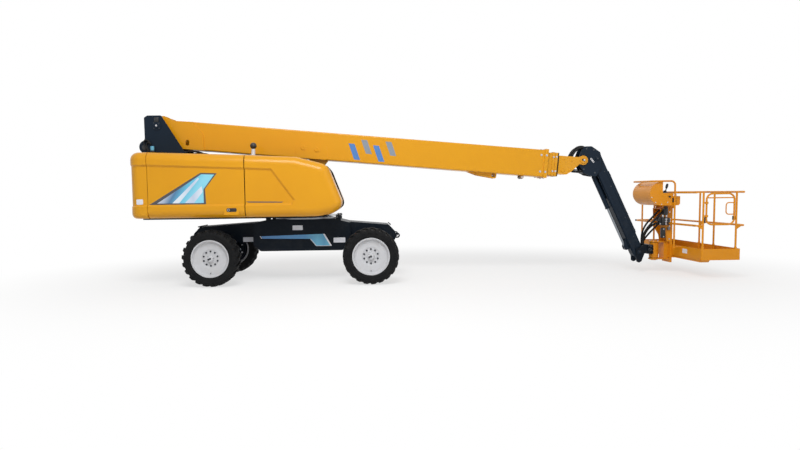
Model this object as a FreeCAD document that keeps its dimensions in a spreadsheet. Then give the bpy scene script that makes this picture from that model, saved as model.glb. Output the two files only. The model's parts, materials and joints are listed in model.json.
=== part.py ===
import FreeCAD, Part
import Sketcher
import math
import os
import re

# Self-propelled telescopic boom lift, millimetres, +Z up, +X towards the platform, +Y left.
# Frame "machine" has its X origin midway between the axles; "boom" starts at the boom pivot and
# follows the boom; "jib" starts at the jib's upper pin; "cage" starts at the jib's lower pin.

SIZES = {
    # where the mid wheelbase lies in the part's own frame
    "machine_x": -2652,
    # running gear
    "wheelbase": 2860, "track": 2070, "tyre_radius": 510, "tyre_width": 410,
    "rim_radius": 322, "rim_wall": 14, "disc_out": 85, "kingpin_inset": 255, "kingpin_radius": 32,
    "hub_radius": 135, "axle_size": 150, "steer_arm": 160, "steer_rod_radius": 22,
    # chassis frame
    "frame_width": 1000, "end_width": 700, "frame_bottom": 570, "frame_top": 1165,
    "frame_shoulder": 1100, "frame_end_top": 1035, "frame_overhang": 490, "end_bottom": 730,
    "slew_offset": 170, "ring_radius": 560, "ring_height": 45, "lug_hole": 25,
    # turntable
    "deck_thick": 25, "deck_half": 980, "tail_x": -2824, "cap_front": -2500, "door_front": -790,
    "nose_x": 960, "body_half": 1180, "hood_top": 2410, "hood_slope": 2.1, "hood_radius": 150,
    "corner_radius": 200, "crease_low": 1443, "crease_high": 2190, "crease_slope": 2.4,
    "recess": 30, "bevel": 70, "hinge_radius": 8, "channel_half": 360, "plate_thick": 25,
    "panel": 40, "gap": 8,
    # boom
    "pivot_x": -2535, "pivot_z": 2950, "boom_droop": 5.06, "boom_drop": -123,
    "base_tall": 526, "base_wide": 400, "boom_wall": 10, "boom_corner": 24,
    "clear_tall": 33, "clear_wide": 20, "base_start": 520, "base_end": 7480,
    "mid_start": 800, "mid_end": 7690, "fly_start": 950, "tip_reach": 8187,
    "pin_radius": 45, "fit": 0.05, "slack": 0.5,
    # lift cylinder
    "lift_foot_x": -1900, "lift_foot_z": 1450, "lift_eye_x": 450, "lift_eye_z": 2205,
    "lift_bore": 110, "lift_rod": 65,
    # levelling cylinder in the fly section
    "level_foot": 7000, "level_arm": 220, "level_bore": 50, "level_rod_radius": 28,
    # jib
    "jib_dx": 285, "jib_dz": 32, "jib_droop": 65, "jib_length": 2036, "link_drop": 170,
    "arm_deep": 220, "arm_wide": 160, "link_wide": 50, "link_thick": 16, "jib_pin": 25,
    "side_gap": 8, "jib_foot_dx": -40, "jib_foot_dz": -308, "jib_eye_x": 1880, "jib_eye_z": -166,
    "jib_bore": 42, "jib_rod_radius": 26,
    # platform
    "swing_x": 355, "cage_back": 645, "cage_front": 1355, "cage_half": 1220, "floor_z": -55,
    "toe_top": 140, "mid_rail": 565, "top_rail": 1165, "tube": 19, "post_tube": 17, "strut": 12,
    "sheet_wall": 4, "pan_thick": 10, "back_rail": 530, "front_post": 1275, "front_rail": 1395,
    "mast_top": 855, "mast_half": 150, "hoop_near": 480, "hoop_far": 335, "hoop_top": 1385,
    "hoop_back": 60, "drum_x": 275, "drum_y": -75, "drum_z": 1147, "drum_radius": 228,
    "drum_long": 750, "gate_back": 725, "gate_tube": 16,
}
WORDS = re.compile(r"[A-Za-z_][A-Za-z_0-9]*")

doc = FreeCAD.newDocument("telescopic_boom_lift")
sheet = doc.addObject("Spreadsheet::Sheet", "sizes")
for row, (alias, value) in enumerate(SIZES.items(), 1):
    sheet.set(f"A{row}", alias)
    sheet.set(f"B{row}", str(value))
    sheet.setAlias(f"B{row}", alias)
doc.recompute()


def bound(text):
    """An expression in which each named size points at its cell."""
    return WORDS.sub(lambda word: "sizes." + word[0] if word[0] in SIZES else word[0], str(text))


def number(text):
    """The present value of an expression of named sizes."""
    return float(sheet.evalExpression(bound(text)))


def bind(item, **paths):
    for path, text in paths.items():
        item.setExpression(path.replace("__", "."), bound(text))
    return item


AXES = {"x": FreeCAD.Vector(1, 0, 0), "y": FreeCAD.Vector(0, 1, 0), "z": FreeCAD.Vector(0, 0, 1)}
SIDES = {"left": "1", "right": "-1"}
TIP = ("pivot_x + tip_reach * cos(boom_droop)", "pivot_z - tip_reach * sin(boom_droop)")
JIB = (f"{TIP[0]} + jib_dx", f"{TIP[1]} + jib_dz")
CAGE = (f"{JIB[0]} + jib_length * cos(jib_droop)", f"{JIB[1]} - jib_length * sin(jib_droop)")
FRAMES = {
    "machine": ("0", "0", "0"),
    "boom": ("pivot_x", "pivot_z", "boom_droop"),
    "bracket": (TIP[0], TIP[1], "0"),
    "jib": (JIB[0], JIB[1], "jib_droop"),
    "cage": (CAGE[0], CAGE[1], "0"),
}
NODES = {}


def node(name, item, frame="machine", y="0", x="0", z="0"):
    """Name a finished sub-part and seat it in its frame."""
    at_x, at_z, droop = FRAMES[frame]
    item.Label = name
    item.Placement = FreeCAD.Placement(FreeCAD.Vector(), FreeCAD.Rotation(AXES["y"], 1))
    bind(item, Placement__Base__x=f"machine_x + {at_x} + {x}", Placement__Base__y=y,
         Placement__Base__z=f"{at_z} + {z}", Placement__Rotation__Angle=droop)
    NODES[name] = item
    return item


def box(long, wide, tall, x="0", y="0", z="0"):
    """A block centred on x, y, z."""
    return bind(doc.addObject("Part::Box", "block"), Length=long, Width=wide, Height=tall,
                Placement__Base__x=f"{x} - ({long}) / 2", Placement__Base__y=f"{y} - ({wide}) / 2",
                Placement__Base__z=f"{z} - ({tall}) / 2")


def rod(radius, length, x="0", y="0", z="0", axis="y"):
    """A round bar centred on x, y, z."""
    bar = doc.addObject("Part::Cylinder", "bar")
    bar.Placement = FreeCAD.Placement(FreeCAD.Vector(), FreeCAD.Rotation(AXES["z"], AXES[axis]))
    place = {"x": x, "y": y, "z": z}
    place[axis] = f"{place[axis]} - ({length}) / 2"
    return bind(bar, Radius=radius, Height=length, Placement__Base__x=place["x"],
                Placement__Base__y=place["y"], Placement__Base__z=place["z"])


def ball(radius, x, y, z):
    return bind(doc.addObject("Part::Sphere", "ball"), Radius=radius, Placement__Base__x=x,
                Placement__Base__y=y, Placement__Base__z=z)


def join(*items):
    whole = doc.addObject("Part::MultiFuse", "joined")
    whole.Shapes = list(items)
    return whole


def cut(base, *tools):
    part = doc.addObject("Part::Cut", "trimmed")
    part.Base = base
    part.Tool = tools[0] if len(tools) == 1 else join(*tools)
    return part


PLANES = {"side": ("XZ_Plane", "-"), "plan": ("XY_Plane", ""), "end": ("YZ_Plane", "")}


def outline(body, plane, points, at="0", holes=()):
    """A closed sketch through points, with round holes given as (a, b, radius)."""
    role, sign = PLANES[plane]
    support = next(item for item in body.Origin.OriginFeatures if item.Role == role)
    sketch = body.newObject("Sketcher::SketchObject", "outline")
    sketch.AttachmentSupport = [(support, "")]
    sketch.MapMode = "FlatFace"
    values = [[number(text) for text in point] for point in points]
    for index, (a, b) in enumerate(values):
        after = values[(index + 1) % len(values)]
        sketch.addGeometry(Part.LineSegment(FreeCAD.Vector(a, b), FreeCAD.Vector(*after)), False)
    for index in range(len(points)):
        sketch.addConstraint(Sketcher.Constraint("Coincident", index, 2, (index + 1) % len(points), 1))
    spots = [(index, 1, point) for index, point in enumerate(points)]
    for a, b, radius in holes:
        centre = FreeCAD.Vector(number(a), number(b))
        circle = sketch.addGeometry(Part.Circle(centre, FreeCAD.Vector(0, 0, 1), number(radius)), False)
        size = sketch.addConstraint(Sketcher.Constraint("Radius", circle, number(radius)))
        sketch.setExpression(f"Constraints[{size}]", bound(radius))
        spots.append((circle, 3, (a, b)))
    for item, end, point in spots:
        for way, text in zip(("DistanceX", "DistanceY"), point):
            fixed = sketch.addConstraint(Sketcher.Constraint(way, -1, 1, item, end, number(text)))
            sketch.setExpression(f"Constraints[{fixed}]", bound(text))
    sketch.setExpression("AttachmentOffset.Base.z", bound(f"{sign}({at})"))
    return sketch


def plate(plane, points, thick, at="0", holes=()):
    """A flat profile, thick across its own plane and centred on it."""
    body = doc.addObject("PartDesign::Body", "profile")
    pad = body.newObject("PartDesign::Pad", "pad")
    pad.Profile = outline(body, plane, points, at, holes)
    pad.Midplane = True
    bind(pad, Length=thick)
    return body


def turned(points, axis="y"):
    """A profile turned about an axis: (along, radius) points for Y, (radius, along) for Z."""
    body = doc.addObject("PartDesign::Body", "turned")
    turn = body.newObject("PartDesign::Revolution", "turn")
    turn.Profile = outline(body, "end", points)
    role = axis.upper() + "_Axis"
    turn.ReferenceAxis = (next(item for item in body.Origin.OriginFeatures if item.Role == role), [""])
    turn.Angle = 360
    return body


def dressed(body, kind, spots, **sizes):
    """A fillet or chamfer on the edges of a body that pass nearest to the spots."""
    doc.recompute()
    base = body.Tip
    picks = []
    for spot in spots:
        corner = Part.Vertex(*[number(text) for text in spot])
        edges = base.Shape.Edges
        picks.append(min(range(len(edges)), key=lambda index: edges[index].distToShape(corner)[0]) + 1)
    feature = body.newObject(f"PartDesign::{kind}", kind.lower())
    feature.Base = (base, [f"Edge{pick}" for pick in sorted(set(picks))])
    return bind(feature, **sizes)


def rounded(body, radius, *spots):
    dressed(body, "Fillet", spots, Radius=radius)
    return body


def flat_rounded(points, thick, at, radius, corners, holes=()):
    """An upright plate along X with some corners of its profile rounded."""
    body = plate("side", points, thick, at, holes)
    return rounded(body, radius, *[(points[index][0], at, points[index][1]) for index in corners])


def bent_tube(points, radius, bend):
    """A round tube along straight runs, with a tangent arc at each corner."""
    spots = [FreeCAD.Vector(*[number(text) for text in point]) for point in points]
    sweep = number(bend)
    start = spots[0]
    edges = []
    for before, corner, after in zip(spots, spots[1:], spots[2:]):
        back = (before - corner).normalize()
        ahead = (after - corner).normalize()
        half = back.getAngle(ahead) / 2
        reach = sweep / math.tan(half)
        middle = corner + (back + ahead).normalize() * (sweep / math.sin(half) - sweep)
        edges.append(Part.LineSegment(start, corner + back * reach).toShape())
        edges.append(Part.Arc(corner + back * reach, middle, corner + ahead * reach).toShape())
        start = corner + ahead * reach
    edges.append(Part.LineSegment(start, spots[-1]).toShape())
    ring = Part.Wire([Part.Circle(spots[0], spots[1] - spots[0], number(radius)).toShape()])
    tube = doc.addObject("Part::Feature", "tube")
    tube.Shape = Part.Wire(edges).makePipeShell([ring], True, True)
    return tube


def moved(item, x, z, tilt):
    """The item, drawn level at the origin, seated at x, z and tilted nose down."""
    item.Placement = FreeCAD.Placement(FreeCAD.Vector(), FreeCAD.Rotation(AXES["y"], 1))
    return bind(item, Placement__Base__x=x, Placement__Base__z=z, Placement__Rotation__Angle=tilt)


# ---------------------------------------------------------------- chassis and running gear
def chassis_frame():
    """Deep middle box under the slewing ring, with a slimmer beam out to each axle."""
    half = "(wheelbase / 2 + frame_overhang)"
    beam = flat_rounded([
        (f"-{half}", "end_bottom"), (half, "end_bottom"), (half, "frame_end_top - 130"),
        (f"{half} - 120", "frame_end_top"), ("slew_offset + ring_radius + 340", "frame_shoulder"),
        ("slew_offset - ring_radius - 430", "frame_shoulder"), (f"-{half} + 120", "frame_end_top"),
        (f"-{half}", "frame_end_top - 130")], "end_width", "0", "45", (0, 1, 2, 3, 6, 7))
    middle = flat_rounded([
        ("slew_offset - ring_radius - 250", "frame_bottom"),
        ("slew_offset + ring_radius + 180", "frame_bottom"),
        ("slew_offset + ring_radius + 330", "frame_bottom + 120"),
        ("slew_offset + ring_radius + 330", "frame_shoulder - 10"),
        ("slew_offset + ring_radius + 40", "frame_top"),
        ("slew_offset - ring_radius", "frame_top"),
        ("slew_offset - ring_radius - 380", "frame_shoulder"),
        ("slew_offset - ring_radius - 380", "frame_bottom + 120")], "frame_width", "0", "70", (0, 1, 2, 7))
    lugs = []
    for end in ("-1", "1"):
        for side in SIDES.values():
            at = (f"{end} * ({half} + 45)", f"{side} * 250", "end_bottom + 90")
            lugs.append(cut(join(rod("50", "30", *at),
                                 box("90", "30", "100", f"{end} * {half}", at[1], at[2])),
                            rod("lug_hole", "60", *at)))
    stops = [box("90", "60", "70", x, f"{side} * (frame_width / 2 - 40)", "frame_top - 5")
             for x in ("slew_offset - ring_radius - 90", "slew_offset + ring_radius + 110")
             for side in SIDES.values()]
    return join(beam, middle, *lugs, *stops)


def slew_ring():
    """Bearing ring bolted to the frame, with its turning race a hair below the deck."""
    return join(rod("ring_radius", "ring_height / 2", "slew_offset", "0", "frame_top + ring_height / 4", "z"),
                rod("ring_radius - 30", "ring_height - slack", "slew_offset", "0",
                    "frame_top + (ring_height - slack) / 2", "z"))


def steer_axle():
    """Box beam with a forked yoke at each end, hung below the frame on a pivot block."""
    kingpin = "(track / 2 - kingpin_inset)"
    beam = box("axle_size", f"2 * {kingpin} - 220", "axle_size", "-wheelbase / 2", "0", "tyre_radius")
    block = box("axle_size + 120", "300", "end_bottom - tyre_radius - axle_size / 2",
                "-wheelbase / 2", "0", "(end_bottom + tyre_radius + axle_size / 2) / 2")
    ears = []
    for side in SIDES.values():
        at_y = f"{side} * {kingpin}"
        for level in ("1", "-1"):
            at_z = f"tyre_radius + {level} * 92"
            ears.append(cut(join(rod("62", "28", "-wheelbase / 2", at_y, at_z, "z"),
                                 box("124", "140", "28", "-wheelbase / 2", f"{at_y} - {side} * 70", at_z)),
                            rod("kingpin_radius + fit", "60", "-wheelbase / 2", at_y, at_z, "z")))
        ears.append(box("124", "50", "212", "-wheelbase / 2", f"{at_y} - {side} * 115", "tyre_radius"))
    return join(beam, block, *ears)


def steer_cylinder():
    """Double-ended cylinder barrel, clamped to the front of the steering axle."""
    at_x = "steer_arm - wheelbase / 2"
    barrel = rod("48", "460", at_x, "0", "tyre_radius")
    clamp = box("steer_arm - axle_size / 2", "200", "70",
                "(steer_arm + axle_size / 2) / 2 - wheelbase / 2", "0", "tyre_radius")
    glands = [rod("54", "40", at_x, f"{side} * 200", "tyre_radius") for side in SIDES.values()]
    return cut(join(barrel, clamp, *glands), rod("steer_rod_radius + fit", "900", at_x, "0", "tyre_radius"))


def steer_rod():
    """Through rod with an open eye at each end."""
    at_x = "steer_arm - wheelbase / 2"
    reach = "track / 2 - kingpin_inset"
    eyes = [cut(rod("34", "36", at_x, f"{side} * ({reach})", "tyre_radius", "z"),
                rod("17", "60", at_x, f"{side} * ({reach})", "tyre_radius", "z"))
            for side in SIDES.values()]
    bar = rod("steer_rod_radius", f"2 * ({reach}) - 50", at_x, "0", "tyre_radius")
    return join(bar, *eyes)


def knuckle(side):
    """Kingpin, wheel hub and the forked steering arm round the rod's eye."""
    face = "(kingpin_inset + disc_out)"
    pin = rod("kingpin_radius", "216", "0", "0", "0", "z")
    post = rod("58", "144", "0", "0", "0", "z")
    hub = turned([(f"{side} * 20", "0"), (f"{side} * {face}", "0"), (f"{side} * {face}", "hub_radius"),
                  (f"{side} * ({face} - 130)", "hub_radius"), (f"{side} * ({face} - 160)", "hub_radius - 25"),
                  (f"{side} * ({face} - 200)", "58"), (f"{side} * 20", "50")])
    arms = [cut(join(box("steer_arm", "60", "14", "steer_arm / 2", "0", f"{level} * 33"),
                     rod("30", "14", "steer_arm", "0", f"{level} * 33", "z")),
                rod("17", "30", "steer_arm", "0", f"{level} * 33", "z"))
            for level in ("1", "-1")]
    return join(pin, post, hub, *arms)


def drive_axle():
    """Turned axle housing with a gear case in the middle and a hub drum at each end."""
    face = "(track / 2 + disc_out)"
    half = [("0", "150"), ("100", "150"), ("190", "110"), ("250", "axle_size / 2"),
            (f"{face} - 310", "axle_size / 2"), (f"{face} - 290", "hub_radius - 25"),
            (f"{face} - 160", "hub_radius - 25"), (f"{face} - 130", "hub_radius"), (face, "hub_radius"),
            (face, "0")]
    mirrored = [(f"-({along})", radius) for along, radius in reversed(half[1:])]
    housing = turned(mirrored + half)
    seats = [box("axle_size + 60", "120", "end_bottom - tyre_radius", "0", f"{side} * 270",
                 "(end_bottom - tyre_radius) / 2") for side in SIDES.values()]
    return join(housing, *seats)


def tyre():
    half = "tyre_width / 2"
    side = [(f"-({half}) + 45", "rim_radius"), (f"-({half}) + 45", "rim_radius + rim_wall + 6"),
            (f"-({half}) + 8", "rim_radius + 44"), (f"-({half})", "tyre_radius - 75"),
            (f"-({half}) + 14", "tyre_radius - 28"), (f"-({half}) + 45", "tyre_radius - 5"),
            (f"-({half}) + 110", "tyre_radius")]
    return turned(side + [(f"-({a})", b) for a, b in reversed(side)])


def rim(side):
    """Dished disc wheel: bead lips, drum, coned disc, bolt face and hub cap in one turned profile."""
    bead = "(tyre_width / 2 - 45)"
    outer = "rim_radius + rim_wall"
    drum = "(rim_radius - rim_wall)"
    profile = [
        (f"{bead} + 12", outer), (bead, outer), (bead, "rim_radius"), (f"-{bead}", "rim_radius"),
        (f"-{bead}", outer), (f"-{bead} - 12", outer), (f"-{bead} - 12", drum), ("disc_out + 15", drum),
        ("disc_out + 8", "hub_radius + 35"), ("disc_out", "hub_radius + 15"), ("disc_out", "0"),
        ("disc_out + 67", "0"), ("disc_out + 67", "46"), ("disc_out + 55", "60"), ("disc_out + 12", "64"),
        ("disc_out + 12", "hub_radius + 15"), ("disc_out + 21", "hub_radius + 35"),
        ("disc_out + 29", f"{drum} - 22"), ("disc_out + 65", f"{drum} + 2"), (f"{bead} + 12", f"{drum} + 8")]
    return turned([(f"{side} * ({along})", radius) for along, radius in profile])


def running_gear():
    node("chassis_frame", chassis_frame())
    node("slew_ring", slew_ring())
    node("steer_axle", steer_axle())
    node("steer_cylinder", steer_cylinder())
    node("steer_rod", steer_rod())
    node("drive_axle", drive_axle(), "machine", "0", "wheelbase / 2", "tyre_radius")
    for name, side in SIDES.items():
        node(f"knuckle_{name}", knuckle(side), "machine", f"{side} * (track / 2 - kingpin_inset)",
             "-wheelbase / 2", "tyre_radius")
        for end, sign in (("steer", "-1"), ("drive", "1")):
            place = ("machine", f"{side} * track / 2", f"{sign} * wheelbase / 2", "tyre_radius")
            node(f"tyre_{end}_{name}", tyre(), *place)
            node(f"rim_{end}_{name}", rim(side), *place)


# ---------------------------------------------------------------- turntable
DECK_Z = "frame_top + ring_height"
DECK_TOP = f"({DECK_Z} + deck_thick)"
INNER = "(channel_half + plate_thick / 2)"


def hood_line(x):
    """Height of the sloping hood top at x."""
    return f"(hood_top - ({x} - cap_front) * tan(hood_slope))"


def crease_line(x):
    """Height at x of the upper edge of the sunk side panel."""
    return f"(crease_high - ({x} - cap_front) * tan(crease_slope))"


def turntable_deck():
    return rounded(plate("plan", [
        ("tail_x + 150", "-deck_half"), ("nose_x - 560", "-deck_half"), ("nose_x - 330", "-deck_half + 330"),
        ("nose_x - 330", "deck_half - 330"), ("nose_x - 560", "deck_half"), ("tail_x + 150", "deck_half")],
        "deck_thick", f"{DECK_Z} + deck_thick / 2"),
        "90", *[(x, f"{side} * ({y})", DECK_Z) for side in SIDES.values()
                for x, y in (("tail_x + 150", "deck_half"), ("nose_x - 330", "deck_half - 330"))])


def turntable_frame():
    """Two tall plates that carry the boom pivot pin and the lift cylinder's foot pin."""
    points = [
        ("cap_front", DECK_TOP), ("nose_x - 340", DECK_TOP), ("nose_x - 440", f"{DECK_TOP} + 300"),
        ("pivot_x + 1300", "pivot_z - 980"), ("pivot_x + 487", "pivot_z - 470"),
        ("pivot_x + 83", "pivot_z + 190"), ("pivot_x - 172", "pivot_z + 190"),
        ("pivot_x - 233", "pivot_z + 150"), ("pivot_x - 231", "pivot_z - 230"),
        ("pivot_x - 262", "pivot_z - 320"), ("pivot_x - 262", "hood_top"), ("cap_front", "hood_top")]
    plates = []
    for side in SIDES.values():
        at = f"{side} * channel_half"
        face = f"{side} * (channel_half + plate_thick / 2 + 6)"
        plates += [
            flat_rounded(points, "plate_thick", at, "30", (5, 6, 7)),
            rod("125", "plate_thick", "pivot_x - 215", at, "hood_top + 145"),
            rod("85", "12", "pivot_x", face, "pivot_z"),
            rod("52", "12", "pivot_x - 240", face, "hood_top + 139"),
            box("60", "12", "60", "pivot_x", face, "pivot_z + 110")]
    pins = [rod("pin_radius", "2 * channel_half + 80", "pivot_x", "0", "pivot_z"),
            rod("pin_radius", "2 * channel_half", "lift_foot_x", "0", "lift_foot_z"),
            rod("50", "2 * channel_half", "nose_x - 460", "0", f"{DECK_TOP} + 120"),
            rod("60", "2 * channel_half", "pivot_x - 160", "0", "hood_top + 120")]
    web = box("20", "2 * channel_half", "700", "cap_front + 60", "0", f"{DECK_TOP} + 350")
    return join(*plates, *pins, web)


def counterweight():
    """Cast block with rounded corners and a sunk belt that carries on the doors' sunk panels."""
    def band(low, high, inset, corner):
        edge = f"body_half - {inset}"
        tail = f"tail_x + 0.4 * {inset}"
        slab = plate("plan", [("cap_front", f"-({edge})"), ("cap_front", edge), (tail, edge),
                              (tail, f"-({edge})")], f"{high} - ({low})", f"({high} + {low}) / 2")
        return rounded(slab, corner, *[(tail, f"{side} * ({edge})", low) for side in SIDES.values()])

    low_top = "crease_low + bevel / 2"
    high_foot = "crease_high - bevel / 2"
    base = rounded(band(DECK_TOP, low_top, "0", "corner_radius"), "90", ("tail_x", "0", DECK_TOP))
    head = rounded(band(high_foot, "hood_top", "0", "corner_radius"), "hood_radius - 15",
                   ("tail_x", "0", "hood_top"))
    dressed(base, "Chamfer", [("tail_x", "0", low_top)], Size="recess")
    dressed(head, "Chamfer", [("tail_x", "0", high_foot)], Size="recess")
    core = band("crease_low - 60", "crease_high + 60", "recess", "corner_radius - recess")
    return join(base, core, head)


def sunk(points, side):
    """Tool for a panel sunk into a side wall, with sloping edges."""
    body = doc.addObject("PartDesign::Body", "sunk")
    pad = body.newObject("PartDesign::Pad", "pad")
    pad.Profile = outline(body, "side", points, f"{side} * (body_half + 1)")
    pad.Reversed = side == SIDES["right"]
    pad.TaperAngle = -math.degrees(math.atan2(number("bevel"), 2 * number("recess")))
    bind(pad, Length="recess + 1")
    return body


def nose_block(side, inset, rear, foot):
    """Rounded nose between the channel and the side wall, every face drawn in by inset."""
    points = [
        (rear, f"{DECK_TOP} + {foot}"), ("nose_x - 486", f"{DECK_TOP} + {foot}"),
        (f"nose_x - 216 - 0.4 * {inset}", f"{DECK_TOP} + 43 + {inset}"),
        (f"nose_x - 1.2 * {inset}", f"{DECK_TOP} + 182 + 0.6 * {inset}"),
        (f"nose_x - 278 - {inset}", f"hood_top - 289 - 0.5 * {inset}"),
        (f"nose_x - 373 - 0.5 * {inset}", f"hood_top - 231 - {inset}"),
        ("nose_x - 847", f"hood_top - 106 - {inset}"), (rear, f"{hood_line(rear)} - {inset}")]
    wide = f"(body_half - {inset} - {INNER})"
    middle = f"{side} * (body_half - {inset} + {INNER}) / 2"
    block = plate("side", points, wide, middle)
    rounded(block, f"hood_radius + 10 - {inset}", *[(points[index][0], middle, points[index][1])
                                                    for index in (3, 4)])
    rounded(block, "300", *[(points[index][0], middle, points[index][1]) for index in (1, 2, 5, 6)])
    return rounded(block, f"hood_radius - {inset}",
                   (f"({rear} + nose_x - 847) / 2", f"{side} * (body_half - {inset})",
                    f"({points[7][1]} + {points[6][1]}) / 2"))


def nose_cowl(side):
    rear = "(door_front + gap)"
    shell = cut(nose_block(side, "0", rear, "0"), nose_block(side, "panel", "(door_front - 40)", "15"))
    return cut(shell, sunk([
        ("door_front - 150", "crease_low"), ("nose_x - 920", "crease_low"),
        ("nose_x - 863", "crease_low + 95"),
        ("nose_x - 1270", crease_line("nose_x - 1270")),
        ("door_front - 150", crease_line("door_front - 150"))], side))


def door_block(side, inset, rear, front, inner, foot):
    """Door outline with its long outer edges rounded, drawn in by inset."""
    middle = f"{side} * (body_half - {inset} + {inner}) / 2"
    points = [(rear, f"{DECK_TOP} + {foot}"), (front, f"{DECK_TOP} + {foot}"),
              (front, f"{hood_line(front)} - {inset}"), (rear, f"{hood_line(rear)} - {inset}")]
    block = plate("side", points, f"body_half - {inset} - {inner}", middle)
    mid = f"({rear} + {front}) / 2"
    return rounded(block, f"hood_radius - {inset}",
                   (mid, f"{side} * (body_half - {inset})", f"{hood_line(mid)} - {inset}"),
                   (mid, f"{side} * (body_half - {inset})", f"{DECK_TOP} + {foot}"))


def door(side):
    """Top-hinged side door in one piece with the hood top above the bay."""
    rear = "(cap_front + gap)"
    front = "(door_front - gap)"
    inner = f"({INNER} + gap)"
    sill = "150"
    shell = cut(door_block(side, "0", rear, front, inner, "0"),
                door_block(side, "panel", "(cap_front - 40)", "(door_front + 40)", f"({inner} - 20)", "15"),
                box("2000", f"body_half - {sill} - ({inner}) + 20", "100", "(cap_front + door_front) / 2",
                    f"{side} * (body_half - {sill} + {inner} - 20) / 2", DECK_TOP),
                sunk([("cap_front - 150", "crease_low"), ("door_front + 150", "crease_low"),
                      ("door_front + 150", crease_line("door_front + 150")),
                      ("cap_front - 150", crease_line("cap_front - 150"))], side),
                box("210", "24", "120", "door_front - 235", f"{side} * body_half", "crease_low - 80"))
    eyes = [cut(join(rod("2 * hinge_radius", "90", at_x, HINGE_Y[side], "0", "x"),
                     box("90", "30", "2 * hinge_radius + 6", at_x, f"{HINGE_Y[side]} + {side} * 7", "-9")),
                rod("hinge_radius + fit", "100", at_x, HINGE_Y[side], "0", "x"))
            for at_x in ("180", "(door_front - cap_front) / 2", "door_front - cap_front - 180")]
    return join(shell, moved(join(*eyes), *HOOD))


HOOD = ("cap_front", "hood_top + 1.5 * hinge_radius", "hood_slope")
HINGE_Y = {side: f"{side} * (channel_half + plate_thick / 2 + gap + 2 * hinge_radius)" for side in ("1", "-1")}


def hinge_bars():
    """Door hinge bars: each hangs on the riser plate behind and on a lug of the nose cowl in front."""
    long = "(door_front - cap_front)"
    drop = "1.5 * hinge_radius * cos(hood_slope)"
    bars = [rod("hinge_radius", f"{long} + 90", f"{long} / 2", HINGE_Y[side], "0", "x")
            for side in SIDES.values()]
    feet = []
    for side in SIDES.values():
        feet += [
            box("30", "gap + 2 * hinge_radius", "2 * hinge_radius", "-25",
                f"{side} * ({INNER} + (gap + 2 * hinge_radius) / 2)", "0"),
            box("30", "2 * hinge_radius", drop, f"{long} + 28", HINGE_Y[side], f"-({drop}) / 2")]
    return join(moved(join(*bars), *HOOD), moved(join(*feet), *HOOD))


def engine_block():
    """Plain mass standing on two cross rails."""
    rails = [box("80", "560", "40", at_x, "680", f"{DECK_TOP} + 20") for at_x in ("-1950", "-1350")]
    return join(box("1000", "480", "700", "-1650", "680", f"{DECK_TOP} + 390"), *rails)


def tanks():
    """Fuel and hydraulic oil tanks side by side under the right door."""
    fuel = rounded(box_body("560", "500", "700", "-1250", "-690", f"{DECK_TOP} + 350"), "40",
                   *[(x, y, DECK_TOP) for x in ("-1530", "-970") for y in ("-940", "-440")])
    oil = rounded(box_body("740", "500", "600", "-1960", "-690", f"{DECK_TOP} + 300"), "40",
                  *[(x, y, DECK_TOP) for x in ("-2330", "-1590") for y in ("-940", "-440")])
    return join(fuel, oil)


def box_body(long, wide, tall, x, y, z):
    """A block centred on x, y, z whose edges can be dressed."""
    return plate("plan", [(f"{x} - {long} / 2", f"{y} - {wide} / 2"),
                          (f"{x} + {long} / 2", f"{y} - {wide} / 2"),
                          (f"{x} + {long} / 2", f"{y} + {wide} / 2"),
                          (f"{x} - {long} / 2", f"{y} + {wide} / 2")],
                 tall, z)


def beacon():
    """Ball lamp on a flanged post, square to the hood."""
    post = turned([("0", "0"), ("62", "0"), ("62", "8"), ("40", "14"), ("36", "128"), ("28", "138"),
                   ("0", "138")],
                  "z")
    x = "door_front + 90"
    lamp = join(ball("60", "0", "0", "188"), rod("20", "24", "0", "0", "138", "z"))
    seat = (x, hood_line(f"({x})"), "hood_slope")
    return join(moved(post, *seat), moved(lamp, *seat))


def turntable():
    node("turntable_deck", turntable_deck())
    node("turntable_frame", turntable_frame())
    node("counterweight", counterweight())
    node("engine_block", engine_block())
    node("service_tanks", tanks())
    node("beacon", beacon(), "machine", "-700")
    node("hinge_bars", hinge_bars())
    for name, side in SIDES.items():
        node(f"nose_cowl_{name}", nose_cowl(side))
        node(f"door_{name}", door(side))


# ---------------------------------------------------------------- boom sections
MID_TALL = "(base_tall - 2 * boom_wall - 2 * clear_tall)"
MID_WIDE = "(base_wide - 2 * boom_wall - 2 * clear_wide)"
FLY_TALL = f"({MID_TALL} - 2 * boom_wall - 2 * clear_tall)"
FLY_WIDE = f"({MID_WIDE} - 2 * boom_wall - 2 * clear_wide)"


def tube_section(start, end, tall, wide):
    """Box section with bent corners, open at both ends."""
    def bar(a, b, inset, corner):
        half = f"({wide} / 2 - {inset})"
        low = f"boom_drop - {tall} / 2 + {inset}"
        high = f"boom_drop + {tall} / 2 - {inset}"
        corners = [(f"-{half}", low), (half, low), (half, high), (f"-{half}", high)]
        blank = plate("end", corners, f"{b} - ({a})", f"({a} + {b}) / 2")
        return rounded(blank, corner, *[(a, y, z) for y, z in corners])
    return cut(bar(start, end, "0", "boom_corner"),
               bar(f"{start} - 10", f"{end} + 10", "boom_wall", "boom_corner - boom_wall"))


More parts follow.
